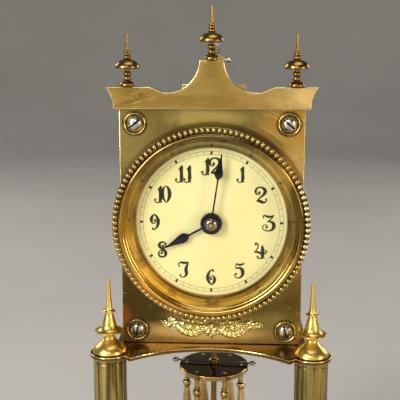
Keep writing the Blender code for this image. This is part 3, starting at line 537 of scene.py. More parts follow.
# COLUMN: strong lighter and darker vertical streaks along the grain, partly grain and partly painted reflection streaks
# of a polished column.
COLUMN = brass('column_brass', (0.54, 0.41, 0.135), (0.28, 0.21, 0.065), rough=(0.12, 0.22), grain=(0.42, 0.42, 0.012), patina=0.7, streak=1.5, grain_reflection_bands=0.8,
               edge=0.0, blotch=0.04, speck=0.15, bump=0.02, relief=0.5, tarnish_and_shade=(0.06, 0.044, 0.015))
# SPUN: the patches paint the bezel's light and shade: painted shade across the top and down both sides, where the bezel
# faces the dark surroundings, a bright orange painted reflection at the lower left, a darker patch at the lower right
# and a warmer band at the bottom; the ring that darkens the cove next to the dial is dirt and painted shade.
SPUN = brass('spun_brass', (0.62, 0.40, 0.105), (0.38, 0.22, 0.055), rough=(0.10, 0.20), patina=0.65, edge=0.0,
             hollow=(2.2, 0.6), swirl=(0.0, DIAL_Z), speck=0.05, bump=0.03, relief=0.5, rings=[(0, DIAL_Z, 37.5, 41.5, 0.35)],
             painted_light_patches=((2, 239, 56, 26, (0.13, 0.098, 0.036), 0.9), (47, 204, 13, 40, (0.09, 0.055, 0.015), 0.9), (-46, 205, 10, 34, (0.28, 0.145, 0.022), 0.8),
                    (-33, 224, 15, 15, (0.14, 0.08, 0.022), 0.8), (-28, 157, 24, 20, (1.0, 0.56, 0.11), 0.85), (32, 160, 18, 16, (0.28, 0.215, 0.06), 0.8),
                    (0, 146, 26, 5, (0.50, 0.30, 0.075), 0.7)))
# BEAD: the patch is a painted highlight that turns the beads down the right side near white; the near-black colour in
# the recesses between the beads is painted shade.
BEAD = brass('bead_brass', (0.43, 0.33, 0.13), (0.26, 0.19, 0.065), rough=(0.17, 0.28), patina=0.5, edge=0.3, hollow=(1.3, 1.0),
             tarnish_and_shade=(0.010, 0.008, 0.004), speck=0.1, painted_light_patches=((50, 196, 9, 46, (1.0, 0.86, 0.50), 0.95),))
# GILT: the patches are painted light: a pale painted highlight on the left cluster and at the centre, orange painted
# reflections on the festoons either side; the dark colour in its recesses is painted shade.
GILT = brass('gilt_brass', (0.95, 0.76, 0.32), (0.70, 0.48, 0.15), rough=(0.20, 0.32), patina=0.5, edge=0.4, hollow=(1.0, 0.9),
             tarnish_and_shade=(0.040, 0.026, 0.008), speck=0.1,
             painted_light_patches=((-21, P + 10.5, 9, 8, (0.92, 0.84, 0.50), 0.7), (-9, P + 5.0, 9, 4, (0.95, 0.58, 0.17), 0.6), (10, P + 5.5, 8, 5, (0.95, 0.62, 0.20), 0.6),
                    (0.3, P + 5.0, 4, 5, (0.96, 0.84, 0.42), 0.6)))
CUP = brass('cup_brass', (0.66, 0.50, 0.19), (0.40, 0.29, 0.10), rough=(0.16, 0.28), patina=0.6, edge=0.6, hollow=(1.4, 0.95), tarnish_and_shade=(0.03, 0.02, 0.008))
BASE = brass('base_brass', (0.66, 0.49, 0.17), (0.40, 0.28, 0.09), rough=(0.12, 0.25), grain=(0.1, 0.1, 3.0), patina=0.6,
             edge=0.3, hollow=(6.0, 0.5), blotch=0.025, speck=0.1)
WHEEL = brass('wheel_brass', (0.78, 0.60, 0.25), (0.54, 0.39, 0.14), rough=(0.22, 0.36), grain=(3.0, 0.4, 3.0), patina=0.55,
              edge=0.3, hollow=(1.5, 0.6))
STEEL = steel('screw_steel', (0.62, 0.60, 0.56), (0.36, 0.33, 0.29), blotch=0.9)
ARBOR = steel('arbor_steel', (0.55, 0.54, 0.52), (0.32, 0.31, 0.29), grain=(7.0, 0.3, 7.0))
BLUED = steel('blued_steel', (0.017, 0.022, 0.046), (0.008, 0.009, 0.014), rough=(0.14, 0.26), coat=0.7, hollow=0.0)
DARKST = steel('regulator_steel', (0.26, 0.245, 0.22), (0.13, 0.12, 0.10), rough=(0.18, 0.3))
NUT = steel('collet_steel', (0.42, 0.37, 0.26), (0.20, 0.165, 0.11), rough=(0.14, 0.26), blotch=0.7, hollow=0.9)
# painted shade: near-black steel for the walls of the screw slots, standing in for the shade inside them
SLOT_SHADE = steel('slot_steel_shaded', (0.030, 0.026, 0.022), (0.012, 0.010, 0.009), rough=(0.4, 0.6))
RAW = steel('spring_steel', (0.40, 0.40, 0.40), (0.22, 0.21, 0.2), grain=(0.4, 0.4, 5.0))


def enamel():
    m = Nodes('dial_enamel')
    big, mid, fine = m.noise(0.04, 3.0, 0.5), m.noise(0.5, 4.0, 0.6), m.noise(2.4, 2.0, 0.5)
    col = m.mix(m.ramp(big, 0.35, 0.7, 0.0, 1.0), (0.84, 0.80, 0.39), (0.81, 0.755, 0.335))
    col = m.mix(m.ramp(mid, 0.56, 0.75, 0.0, 0.35), col, (0.78, 0.69, 0.28))
    col = m.mix(m.ramp(fine, 0.70, 0.78, 0.0, 0.45), col, (0.42, 0.36, 0.16))
    sep = m.t.nodes.new('ShaderNodeSeparateXYZ')
    m.link(m.mm, sep.inputs[0])
    dz = m.maths('SUBTRACT', sep.outputs[2], DIAL_Z)
    rr = m.maths('SQRT', m.maths('ADD', m.maths('MULTIPLY', sep.outputs[0], sep.outputs[0]), m.maths('MULTIPLY', dz, dz)))
    # painted shade: the enamel turns greyer just inside the bezel and darker round the centre, under the collet and
    # hands.
    col = m.mix(m.ramp(rr, 37.2, 38.3, 0.0, 0.8), col, (0.66, 0.62, 0.42))
    col = m.mix(m.ramp(rr, 6.6, 4.6, 0.0, 0.5), col, (0.66, 0.55, 0.24))
    m.link(col, m.bsdf.inputs['Base Color'])
    m.link(m.ramp(mid, 0.3, 0.7, 0.16, 0.28), m.bsdf.inputs['Roughness'])
    m.bsdf.inputs['Coat Weight'].default_value = 0.35
    m.bsdf.inputs['Coat Roughness'].default_value = 0.10
    m.link(m.bump(mid, 0.06, 0.10, m.bump(fine, 0.04, 0.03)), m.bsdf.inputs['Normal'])
    return m.mat


def ink():
    m = Nodes('numeral_paint')
    n, f = m.noise(1.3, 4.0, 0.6), m.noise(5.0, 2.0, 0.5)
    col = m.mix(m.ramp(n, 0.4, 0.7, 0.0, 1.0), (0.012, 0.011, 0.010), (0.035, 0.030, 0.020))
    col = m.mix(m.ramp(f, 0.68, 0.78, 0.0, 0.4), col, (0.16, 0.13, 0.06))
    m.link(col, m.bsdf.inputs['Base Color'])
    m.link(m.ramp(n, 0.3, 0.7, 0.3, 0.5), m.bsdf.inputs['Roughness'])
    m.link(m.bump(n, 0.1, 0.03), m.bsdf.inputs['Normal'])
    return m.mat


ENAMEL, INK = enamel(), ink()

# ================================================================ base, feet, columns
prof = path((0, 25.0), (88.4, 25.0), [(89.4, 24.9), (90.4, 24.2), (90.5, 23.2), (90.0, 22.4)], (89.6, 21.9), (89.8, 21.2),
            [(90.0, 20.6), (90.0, 18.4), (90.3, 15.6), (91.4, 13.2), (92.9, 11.9)], (93.2, 11.3), (98.4, 11.3),
            [(98.9, 11.5), (100.2, 11.3), (101.3, 10.4), (101.88, 9.2), (101.88, 7.6), (101.4, 6.5), (100.9, 6.0)], (76.0, 6.0),
            (76.0, 8.0), (99.6, 8.0), (99.6, 9.6), (91.0, 9.7), (88.2, 16.0), (88.2, 23.2), (0, 23.2))
foot = path((0, 0), (6.2, 0), (7.0, 0.7), [(7.0, 0.9), (7.0, 4.0), (6.7, 4.8)], (6.0, 5.2), (3.2, 5.6), (3.2, 6.6), (0, 6.6))
vs, fs = lathe(foot, 40)
piece('base_turned', join(lathe(prof, 160), (shift(vs, 0, 84.0, 0), fs)), BASE, rep='base_shell')
fprof = path((0, 0), (6.2, 0), (7.0, 0.7), [(7.0, 0.9), (7.0, 4.0), (6.7, 4.8)], (6.0, 5.2), (2.4, 5.5), (2.4, 13.6), (2.0, 14.0), (0, 14.0))
for side, sx in (('left', -1), ('right', 1)):
    g = lathe(fprof, 40)
    piece('foot_' + side, g, TURNED, side + '_foot', 'levelling_foot_' + side,
          (sx * 84.0 * math.cos(math.radians(30)), -42.0, 0))
    c = P - 2.3
    g = lathe(path((0, 14), (2.7, 14), (3.0, 14.4), (3.0, 25.2), (12.0, 25.2), (12.2, 25.6), (12.2, 27.0),
                   [(12.1, 27.3), (11.6, 28.6), (10.6, 29.9), (9.6, 30.7)], (9.2, 31.2), (9.2, 32.4), (8.6, 33.2), (8.43, 34.2),
                   (8.5, c - 2.3), (8.3, c - 2.15), (8.3, c - 1.95), (8.55, c - 1.8), (8.6, c - 0.05),
                   (2.8, c), (2.8, 111), (0, 111)), 72)
    piece('column_turned_' + side, g, COLUMN, rep='column_' + side, at=(sx * CX, CY, 0))
    g = lathe(path((0, 112), (2.5, 112), (2.5, P + 0.3), (8.5, P + 0.3), (8.6, P + 0.5), (8.6, P + 0.9),
                   [(8.5, P + 1.1), (8.15, P + 2.0), (7.2, P + 3.3), (5.9, P + 4.5), (4.6, P + 5.6), (3.6, P + 6.6)], (3.2, P + 7.0), (3.3, P + 7.25),
                   [(3.0, P + 7.5), (2.8, P + 8.4), (2.9, P + 9.3)], (3.1, P + 9.6), [(3.7, P + 9.9), (5.3, P + 10.3), (6.8, P + 10.85)],
                   (7.3, P + 11.0), (7.42, P + 11.15), (7.42, P + 11.4), (7.3, P + 11.55), [(6.7, P + 11.65), (5.3, P + 12.2), (4.3, P + 13.2), (3.9, P + 13.9)],
                   (3.75, P + 14.05), [(3.6, P + 14.4), (3.35, P + 15.6), (2.85, P + 17.4), (2.3, P + 19.3), (1.98, P + 20.8)],
                   (1.95, P + 21.0), (3.1, P + 21.3), (3.3, P + 21.45), (3.3, P + 21.7), (3.1, P + 21.85), [(2.5, P + 22.0), (1.95, P + 22.6), (1.75, P + 23.3)],
                   [(1.62, P + 24.2), (1.4, P + 26.5), (1.15, P + 30.5), (0.95, P + 34.0), (0.85, P + 37.2)],
                   [(0.85, P + 37.3), (0.75, P + 37.75), (0.4, P + 37.97), (0, P + 38.0)], soft=0.05), 72)
    piece('column_spire_' + side, g, SPIRE, rep='column_finial_' + side, at=(sx * CX, CY, 0))

# ================================================================ platform
half = [(40.0 * i / 40, -48.9 - 59.0 + math.sqrt(59.0 ** 2 - (40.0 * i / 40) ** 2)) for i in range(41)]
half += [(40.9, -63.1), (41.5, -62.7)] + arc(CX, CY, 10.0, -143, 60, 40) + [(51.2, -44.6), (50.4, -42.5), (49.6, -38.0)] \
    + arc(42.6, 6.0, 7.0, 0, 90, 12)
outline = half + [(-x, y) for x, y in reversed(half[1:])]
holes = [circle(6.5, 40)] + [circle(2.8, 24, s * CX, CY) for s in (-1, 1)]
piece('platform_plate', slab(outline, holes, P - 2, P, 0.3, 0.35, 'Z'), PLAT, rep='platform', edge=EDGE_WEAR_SHEEN)


# ================================================================ plates
def rect(x0, x1, y0, y1, n=1):
    return [(x0, y0), (x1, y0), (x1, y1), (x0, y1)]


TRAIN = {'c': (0, DIAL_Z), 'b': (13.0, 161.0), 'i': (-17.377, 173.894), 't': (-19.657, 195.776), 'e': (0, 211.6), 'a': (0, 227.8)}
front_holes = [circle(2.2, 24, s * PX, z) for s in (-1, 1) for z in PZ]
train_holes = [circle(r, 20, *TRAIN[k]) for k, r in (('c', 2.9), ('b', 1.45), ('i', 1.05), ('t', 1.05), ('e', 0.75), ('a', 1.05))]


def front_plate():
    """Front plate with a counterbore round each pillar screw."""
    plate = rect(-46.5, 46.5, P + 0.3, P + 127.5)
    wide = [circle(5.75, 48, s * PX, z) for s in (-1, 1) for z in PZ]
    tight = [circle(2.2, 48, s * PX, z) for s in (-1, 1) for z in PZ]
    vs, fs, soft = [], [], []
    rings = []

    def add(loops, y):
        base = len(vs)
        for lp in loops:
            vs.extend((x, y, z) for x, z in lp)
        return base

    def wall(b0, b1, loops, mark=False):
        at = 0
        for lp in loops:
            n = len(lp)
            for i in range(n):
                k = (i + 1) % n
                fs.append([b0 + at + i, b0 + at + k, b1 + at + k, b1 + at + i])
                if mark:
                    soft.append(len(fs) - 1)
            at += n

    def cap(loops, base, flip):
        for f in fill(loops):
            fs.append([base + i for i in (f[::-1] if flip else f)])
    outer = plate if signed(plate) > 0 else plate[::-1]
    wide = [w if signed(w) < 0 else w[::-1] for w in wide]
    tight = [w if signed(w) < 0 else w[::-1] for w in tight]
    small = [h if signed(h) < 0 else h[::-1] for h in train_holes]
    b = 0.3
    seq = []
    for s in range(4):
        d, y = b * (1 - math.sin(math.pi / 2 * s / 3)), FRONT + b * (1 - math.cos(math.pi / 2 * s / 3))
        lp = [offset(outer, d)] + [offset(w, d * 0.7) for w in wide] + small
        seq.append((add(lp, y), lp))
    lp = seq[0][1]
    cap(lp, seq[0][0], False)
    for j in range(3):
        wall(seq[j][0], seq[j + 1][0], seq[j][1][:5], True)
        n0 = sum(len(q) for q in seq[j][1][:5])
        wall(seq[j][0] + n0, seq[j + 1][0] + n0, small)
    # counterbore walls and floor, then the through holes
    n_out = len(outer)
    w0 = seq[3][0] + n_out
    w1 = add(wide, FRONT + 1.3)
    wall(w0, w1, wide)
    t0 = add(tight, FRONT + 1.3)
    at = 0
    for w, t in zip(wide, tight):
        for i in range(len(w)):
            k = (i + 1) % len(w)
            fs.append([w1 + at + i, w1 + at + k, t0 + at + k, t0 + at + i])
        at += len(w)
    back = []
    for s in range(4):
        d, y = b * (1 - math.cos(math.pi / 2 * s / 3)), FRONT + 2.5 - b * (1 - math.sin(math.pi / 2 * s / 3))
        lp = [offset(outer, d)] + tight + small
        back.append((add(lp, y), lp))
    wall(seq[3][0], back[0][0], [outer])
    wall(t0, back[0][0] + n_out, tight)
    wall(seq[3][0] + n_out + sum(len(w) for w in wide), back[0][0] + n_out + sum(len(w) for w in tight), small)
    for j in range(3):
        wall(back[j][0], back[j + 1][0], [outer], True)
        wall(back[j][0] + n_out, back[j + 1][0] + n_out, tight + small)
    cap(back[3][1], back[3][0], True)
    return vs, fs, soft


piece('front_plate_cut', front_plate(), PLATE, rep='front_plate', edge=EDGE_WEAR_SHEEN)

vs, fs, soft = slab(rect(-46.5, 46.5, P + 0.3, P + 124.0), [circle(2.7, 32, s * PX, z) for s in (-1, 1) for z in PZ]
                    + [circle(r, 20, *TRAIN[k]) for k, r in (('c', 1.05), ('b', 3.1), ('i', 1.05), ('t', 1.05), ('e', 0.75), ('a', 1.3))],
                    -11.0, -8.5, 0.3, 0.3)
piece('back_plate_cut', (vs, fs, soft), BACKP, rep='back_plate', edge=EDGE_WEAR_SHEEN)

# ================================================================ pillars, cup washers and slotted screws
SLOT = {('upper', 'left'): 37.0, ('upper', 'right'): -40.0, ('lower', 'left'): 80.0, ('lower', 'right'): 105.0}


def slotted(ob, x, y0, y1, z, half, wide, deg):
    """Mills a slot of the given depth across a screw head, at an angle, and makes its walls near black, painted shade.
    """
    vs, fs, _ = slab([(-half, -wide), (half, -wide), (half, wide), (-half, wide)], [], y0, y1, 0, 0)
    cm = bpy.data.meshes.new('slot')
    cm.from_pydata([((u + x) * MM, v * MM, (w + z) * MM) for u, v, w in spin(vs, -deg)], [], fs)
    outward(cm)
    cm.materials.append(SLOT_SHADE)
    cutter = bpy.data.objects.new('slot', cm)
    bpy.context.scene.collection.objects.link(cutter)
    mod = ob.modifiers.new('slot', 'BOOLEAN')
    mod.operation, mod.solver, mod.object, mod.material_mode = 'DIFFERENCE', 'EXACT', cutter, 'TRANSFER'
    bpy.context.view_layer.update()
    me = bpy.data.meshes.new_from_object(ob.evaluated_get(bpy.context.evaluated_depsgraph_get()))
    ob.modifiers.clear()
    ob.data = me
    me.set_sharp_from_angle(angle=math.radians(35))
    bpy.data.objects.remove(cutter, do_unlink=True)


for (row, pz) in (('lower', PZ[0]), ('upper', PZ[1])):
    for side, sx in (('left', -1), ('right', 1)):
        at = (sx * PX, 0, pz)
        a, b = -39.2, -11.3
        g = lathe(path((0, -30.5), (2.1, -30.5), (2.1, a), (4.3, a), (4.3, a + 1.4), [(4.1, a + 1.8), (3.3, a + 2.3), (3.0, a + 3.2), (2.95, a + 5.0)],
                       [(3.0, a + 9.0), (3.35, -25.2), (3.0, b - 9.0)],
                       [(2.95, b - 5.0), (3.0, b - 3.2), (3.3, b - 2.3), (4.1, b - 1.8)], (4.3, b - 1.4), (4.3, b), (2.4, b),
                       (2.4, -8.6), [(2.3, -8.35), (1.6, -8.22), (0, -8.2)]), 40, 'Y')
        piece('pillar_turned_%s_%s' % (row, side), g, WHEEL, rep='pillar_%s_%s' % (row, side), at=at)
        f = FRONT
        g = lathe(path((2.3, f + 1.0), (5.3, f + 1.0), (5.5, f + 0.1), [(5.55, f - 0.5), (5.45, f - 0.95), (5.15, f - 1.15), (4.85, f - 1.0)],
                       [(4.65, f - 0.55), (4.5, f - 0.1), (4.1, f + 0.25), (3.6, f + 0.35)], (2.3, f + 0.35), soft=0.05), 72, 'Y', closed=True)
        piece('cup_washer_%s_%s' % (row, side), g, CUP, rep='pillar_washer_%s_%s' % (row, side), at=at)
        head = path([(0, f - 2.55), (0.9, f - 2.5), (1.9, f - 2.26), (2.8, f - 1.82), (3.4, f - 1.25), (3.72, f - 0.55)], (3.75, f - 0.15),
                    (3.4, f + 0.2), (1.75, f + 0.2), (1.75, f + 9.0), (0, f + 9.0), k=4)
        ob = piece('domed_screw_%s_%s' % (row, side), lathe(head, 56, 'Y'), STEEL,
                   rep='pillar_screw_%s_%s' % (row, side), at=at)
        slotted(ob, sx * PX, f - 4.0, f - 1.0, pz, 4.6, 0.42, SLOT[(row, side)])

# ================================================================ pediment and its finials
PB, SH, TP = P + 123.1, P + 134.0, P + 147.0
ped = [(49.0, PB), (49.0, PB + 0.9)] + spline([(49.05, PB + 1.0), (49.3, P + 126.8), (50.3, P + 130.0), (51.5, P + 132.3), (52.7, SH - 0.2)], 6) \
    + [(52.8, SH), (31.4, SH)] + spline([(31.2, SH - 0.02), (29.9, SH - 0.35), (28.2, SH - 1.1), (26.4, SH - 1.85), (24.6, SH - 2.55)], 5)
ped += arc(22.2, P + 147.3, 16.05, -80, -176, 40) + [(5.9, TP)]
loop = ped + [(-x, z) for x, z in reversed(ped)]
PY = FRONT - 0.3 - 3.0
piece('pediment_plate', slab(loop, [], PY, PY + 3.0, 0.38, 0.25), PEDI, rep='pediment', edge=EDGE_WEAR_SHEEN)
spire = path((0, -5.0), (0.75, -5.0), (0.75, 0.3), (3.6, 0.3), [(3.78, 0.4), (3.85, 0.85), (3.6, 1.6), (2.8, 2.35), (1.75, 2.8)], (1.45, 2.95),
             [(1.5, 3.1), (1.98, 3.45), (2.15, 4.05), (1.98, 4.7), (1.5, 5.05)], (1.25, 5.2),
             [(1.3, 5.35), (1.95, 5.75), (2.2, 6.4), (1.95, 7.05), (1.35, 7.45)], (1.15, 7.7), (1.2, 8.5), [(1.5, 8.68), (3.0, 8.72), (5.4, 8.8)],
             [(5.9, 8.86), (6.22, 9.2), (6.25, 9.7), (5.95, 10.6), (5.2, 11.6), (4.0, 12.5), (2.7, 13.05), (1.6, 13.3)], (1.45, 13.4),
             [(1.5, 13.5), (1.92, 13.85), (2.05, 14.3), (1.88, 14.8), (1.45, 15.05)], (1.25, 15.15),
             [(1.3, 15.25), (1.62, 15.5), (1.7, 15.9), (1.58, 16.3), (1.25, 16.5)], (1.1, 16.6), (1.62, 16.75), (1.62, 17.35), (0.9, 17.6),
             [(0.78, 17.8), (0.68, 21.5), (0.55, 25.6)], [(0.55, 25.7), (0.42, 26.02), (0.2, 26.14), (0, 26.17)], soft=0.08, k=5)
for side, fx, fz in (('left', -41.7, SH), ('centre', 0.0, TP), ('right', 41.7, SH)):
    piece('spire_' + side, lathe(spire, 48), TURNED, rep='top_finial_' + side, at=(fx, PY + 1.5, fz))

# ================================================================ bezel with its ring of beads
f = FRONT
prof = path((38.46, f - 1.35), [(38.46, f - 1.6), (38.6, f - 2.2), (39.2, f - 3.0)],
            [(39.9, f - 3.9), (41.0, f - 6.0), (41.7, f - 7.9), (42.4, f - 9.5), (42.9, f - 10.2)], (43.25, f - 10.35),
            [(43.35, f - 10.5), (43.9, f - 11.25), (44.7, f - 11.72), (45.3, f - 11.78), (46.1, f - 11.4), (46.7, f - 10.6), (46.9, f - 10.1)],
            (47.1, f - 9.6), [(47.3, f - 9.4), (48.4, f - 9.3), (49.3, f - 9.35)], (49.6, f - 9.1), (49.5, f - 8.7), (47.4, f - 7.8), (47.1, f - 7.2),
            (47.0, f - 0.3), (45.9, f - 0.3), (45.4, f - 9.0), [(44.6, f - 9.6), (43.8, f - 9.2), (42.7, f - 7.6), (41.6, f - 5.0), (40.2, f - 1.35)])
piece('bezel_spun', lathe(prof, 216, 'Y', closed=True), SPUN, rep='bezel', at=(0, 0, DIAL_Z))
parts = []
for i in range(108):
    a = 2 * math.pi * (i + 0.5) / 108
    vs, fs = ball(0, 0, 0, 1.15, 1.25, 1.50, 16, 10)
    vs = spin([(x, y + f - 10.15, z + 48.15) for x, y, z in vs], math.degrees(a))
    parts.append((vs, fs))
piece('bezel_beads', join(*parts), BEAD, at=(0, 0, DIAL_Z), smooth=60)

# ================================================================ dial, track and numerals
prof = path((4.0, f - 1.05), (38.9, f - 1.05), [(39.4, f - 1.0), (39.9, f - 0.85)], (40.3, f - 0.5), (40.3, f - 0.35), (4.0, f - 0.35), soft=0.08)
piece('dial_plate', lathe(prof, 144, 'Y', closed=True), ENAMEL, rep='dial', at=(0, 0, DIAL_Z))
FACE = f - 1.05                 # front of the enamel


def ring(r0, r1, y0, y1, n=180):
    return lathe([(r0, y0), (r0, y1), (r1, y1), (r1, y0)], n, 'Y', closed=True)


track = [ring(34.80, 34.94, FACE + 0.02, FACE - 0.030), ring(36.50, 36.64, FACE + 0.02, FACE - 0.030)]
for i in range(60):
    w, r0, r1 = (0.56, 34.86, 36.6) if i % 5 == 0 else (0.075, 34.9, 36.55)
    vs, fs, _ = slab([(-w, r0), (w, r0), (w, r1), (-w, r1)], [], FACE - 0.034, FACE + 0.02, 0, 0)
    track.append((spin(vs, 6.0 * i), fs))
piece('dial_track', join(*track), INK, at=(0, 0, DIAL_Z))

# numerals: each stroke is a pen line (x, height, width) in a glyph one unit high, and dots end the curls
GLYPH = {
    '1': (0.50, [[(0.44, 1.0, 0.02), (0.425, 0.90, 0.12), (0.395, 0.75, 0.165), (0.405, 0.5, 0.15), (0.41, 0.28, 0.17), (0.385, 0.12, 0.13),
                  (0.31, 0.02, 0.065), (0.20, 0.0, 0.05), (0.10, 0.05, 0.045), (0.055, 0.15, 0.045)],
                 [(0.43, 0.97, 0.03), (0.33, 0.84, 0.06), (0.23, 0.73, 0.02)], [(0.39, 0.10, 0.10), (0.44, 0.03, 0.07), (0.50, 0.0, 0.02)]],
          [(0.10, 0.17, 0.07)]),
    '2': (0.78, [[(0.32, 0.60, 0.05), (0.22, 0.53, 0.05), (0.10, 0.59, 0.08), (0.06, 0.74, 0.11), (0.14, 0.91, 0.09), (0.33, 0.985, 0.07),
                  (0.53, 0.92, 0.12), (0.64, 0.76, 0.17), (0.58, 0.57, 0.14), (0.42, 0.41, 0.09), (0.25, 0.26, 0.06), (0.13, 0.10, 0.05)],
                 [(0.12, 0.09, 0.05), (0.22, 0.15, 0.11), (0.34, 0.12, 0.15), (0.46, 0.065, 0.14), (0.58, 0.05, 0.10), (0.69, 0.11, 0.06),
                  (0.75, 0.22, 0.045)]], [(0.28, 0.655, 0.085), (0.70, 0.24, 0.06)]),
    '3': (0.78, [[(0.05, 0.92, 0.03), (0.15, 0.975, 0.06), (0.32, 0.92, 0.11), (0.50, 0.90, 0.10), (0.74, 0.99, 0.04)],
                 [(0.74, 0.99, 0.03), (0.60, 0.82, 0.055), (0.42, 0.64, 0.06), (0.33, 0.57, 0.05)],
                 [(0.33, 0.57, 0.04), (0.50, 0.60, 0.08), (0.68, 0.50, 0.15), (0.73, 0.32, 0.18), (0.66, 0.13, 0.13), (0.46, 0.025, 0.07),
                  (0.24, 0.03, 0.05), (0.07, 0.14, 0.05), (0.05, 0.29, 0.045), (0.16, 0.39, 0.04), (0.30, 0.36, 0.04), (0.34, 0.26, 0.05)]],
          [(0.08, 0.86, 0.055), (0.28, 0.23, 0.075)]),
    '4': (0.80, [[(0.06, 0.94, 0.04), (0.15, 0.99, 0.045), (0.26, 0.90, 0.06), (0.25, 0.70, 0.055), (0.15, 0.52, 0.05), (0.04, 0.38, 0.05)],
                 [(0.03, 0.37, 0.04), (0.20, 0.42, 0.09), (0.40, 0.35, 0.12), (0.60, 0.30, 0.09), (0.77, 0.38, 0.05), (0.80, 0.48, 0.04)],
                 [(0.52, 0.86, 0.02), (0.53, 0.70, 0.13), (0.55, 0.5, 0.18), (0.53, 0.3, 0.17), (0.54, 0.13, 0.15), (0.46, 0.03, 0.08),
                  (0.34, 0.0, 0.05), (0.22, 0.05, 0.045)], [(0.54, 0.12, 0.08), (0.60, 0.03, 0.06), (0.68, 0.0, 0.02)]],
          [(0.12, 0.89, 0.065), (0.75, 0.50, 0.055), (0.24, 0.12, 0.065)]),
    '5': (0.63, [[(0.62, 0.98, 0.03), (0.48, 0.885, 0.09), (0.30, 0.86, 0.11), (0.11, 0.94, 0.04)],
                 [(0.115, 0.94, 0.03), (0.10, 0.78, 0.05), (0.11, 0.60, 0.04)],
                 [(0.11, 0.60, 0.03), (0.28, 0.665, 0.09), (0.46, 0.58, 0.16), (0.53, 0.38, 0.18), (0.48, 0.16, 0.13), (0.32, 0.025, 0.07),
                  (0.14, 0.03, 0.05), (0.035, 0.14, 0.045), (0.05, 0.27, 0.04)]], [(0.56, 0.935, 0.06), (0.11, 0.27, 0.07)]),
    '6': (0.60, [[(0.47, 0.95, 0.03), (0.36, 0.99, 0.05), (0.20, 0.86, 0.09), (0.10, 0.64, 0.15), (0.09, 0.42, 0.17), (0.17, 0.18, 0.12),
                  (0.32, 0.01, 0.06)], [(0.31, 0.01, 0.05), (0.44, 0.14, 0.11), (0.51, 0.32, 0.16), (0.49, 0.50, 0.11), (0.38, 0.60, 0.05),
                                        (0.26, 0.54, 0.04), (0.23, 0.42, 0.04)]], [(0.42, 0.91, 0.065), (0.30, 0.40, 0.08)]),
    '7': (0.70, [[(0.05, 0.76, 0.04), (0.10, 0.91, 0.06), (0.24, 0.965, 0.10), (0.42, 0.93, 0.13), (0.66, 0.98, 0.06)],
                 [(0.68, 1.0, 0.03), (0.62, 0.84, 0.09), (0.54, 0.62, 0.15), (0.53, 0.42, 0.17), (0.56, 0.24, 0.15), (0.48, 0.09, 0.09),
                  (0.34, 0.025, 0.05), (0.20, 0.05, 0.045), (0.13, 0.15, 0.04)]], [(0.10, 0.73, 0.055), (0.18, 0.16, 0.06)]),
    '8': (0.56, [[(0.27, 0.68, 0.04), (0.38, 0.62, 0.05), (0.47, 0.70, 0.07), (0.46, 0.87, 0.08), (0.28, 0.975, 0.08), (0.11, 0.88, 0.12),
                  (0.09, 0.73, 0.16), (0.22, 0.57, 0.15), (0.39, 0.43, 0.15), (0.48, 0.26, 0.16), (0.42, 0.09, 0.11), (0.25, 0.02, 0.08),
                  (0.08, 0.10, 0.10), (0.04, 0.28, 0.08), (0.12, 0.41, 0.05), (0.24, 0.40, 0.04), (0.28, 0.31, 0.04)]],
          [(0.32, 0.745, 0.075), (0.22, 0.265, 0.08)]),
    '0': (0.53, [[(0.25, 1.0, 0.02), (0.11, 0.82, 0.10), (0.065, 0.55, 0.14), (0.11, 0.25, 0.11), (0.27, 0.0, 0.03)],
                 [(0.23, 0.99, 0.03), (0.38, 0.88, 0.11), (0.46, 0.60, 0.18), (0.45, 0.35, 0.16), (0.36, 0.12, 0.09), (0.26, 0.0, 0.03)]], []),
}
w6, s6, d6 = GLYPH['6']
GLYPH['9'] = (w6, [[(w6 - x, 1 - y, w) for x, y, w in s] for s in s6], [(w6 - x, 1 - y, r) for x, y, r in d6])


def pen(pts, k, ox, oz, lift):
    """A pen stroke as a thin raised ribbon with square sides."""
    line = spline(pts, 7)
    left, right = [], []
    for i, (x, z, w) in enumerate(line):
        a, b = line[max(i - 1, 0)], line[min(i + 1, len(line) - 1)]
        dx, dz = b[0] - a[0], b[1] - a[1]
        ln = math.hypot(dx, dz) or 1e-9
        nx, nz = -dz / ln, dx / ln
        w = max(w * 1.2 + 0.012, 0.03) / 2
        left.append((ox + k * (x + nx * w), oz + k * (z + nz * w)))
        right.append((ox + k * (x - nx * w), oz + k * (z - nz * w)))
    n = len(left)
    vs = [(x, FACE + 0.02, z) for x, z in left + right] + [(x, FACE - lift, z) for x, z in left + right]
    fs = []
    for i in range(n - 1):
        fs += [[i, i + 1, n + i + 1, n + i], [2 * n + i, 3 * n + i, 3 * n + i + 1, 2 * n + i + 1],
               [i, 2 * n + i, 2 * n + i + 1, i + 1], [n + i, n + i + 1, 3 * n + i + 1, 3 * n + i]]
    fs += [[0, n, 3 * n, 2 * n], [n - 1, 3 * n - 1, 4 * n - 1, 2 * n - 1]]
    return vs, fs


for h in range(1, 13):
    text = str(h)
    tall = 8.75 if h >= 10 else 8.3
    gap = -0.03
    width = sum(GLYPH[c][0] for c in text) + gap * (len(text) - 1)
    ang = math.radians(30 * h)
    mx, mz = 28.9 * math.sin(ang), 28.9 * math.cos(ang)
    parts, x = [], -width / 2
    for c in text:
        wd, strokes, dots = GLYPH[c]
        for i, s in enumerate(strokes):
            parts.append(pen(s, tall, mx + tall * x, mz - tall / 2, 0.030 + 0.004 * i))
        for i, (px, pz, r) in enumerate(dots):
            vs, fs = lathe([(0, FACE + 0.02), (tall * r, FACE + 0.02), (tall * r, FACE - 0.044 - 0.003 * i), (0, FACE - 0.044 - 0.003 * i)], 24, 'Y')
            parts.append((shift(vs, mx + tall * (x + px), 0, mz - tall / 2 + tall * pz), fs))
        x += wd + gap
    piece('numeral_%02d' % h, join(*parts), INK, at=(0, 0, DIAL_Z), smooth=30)


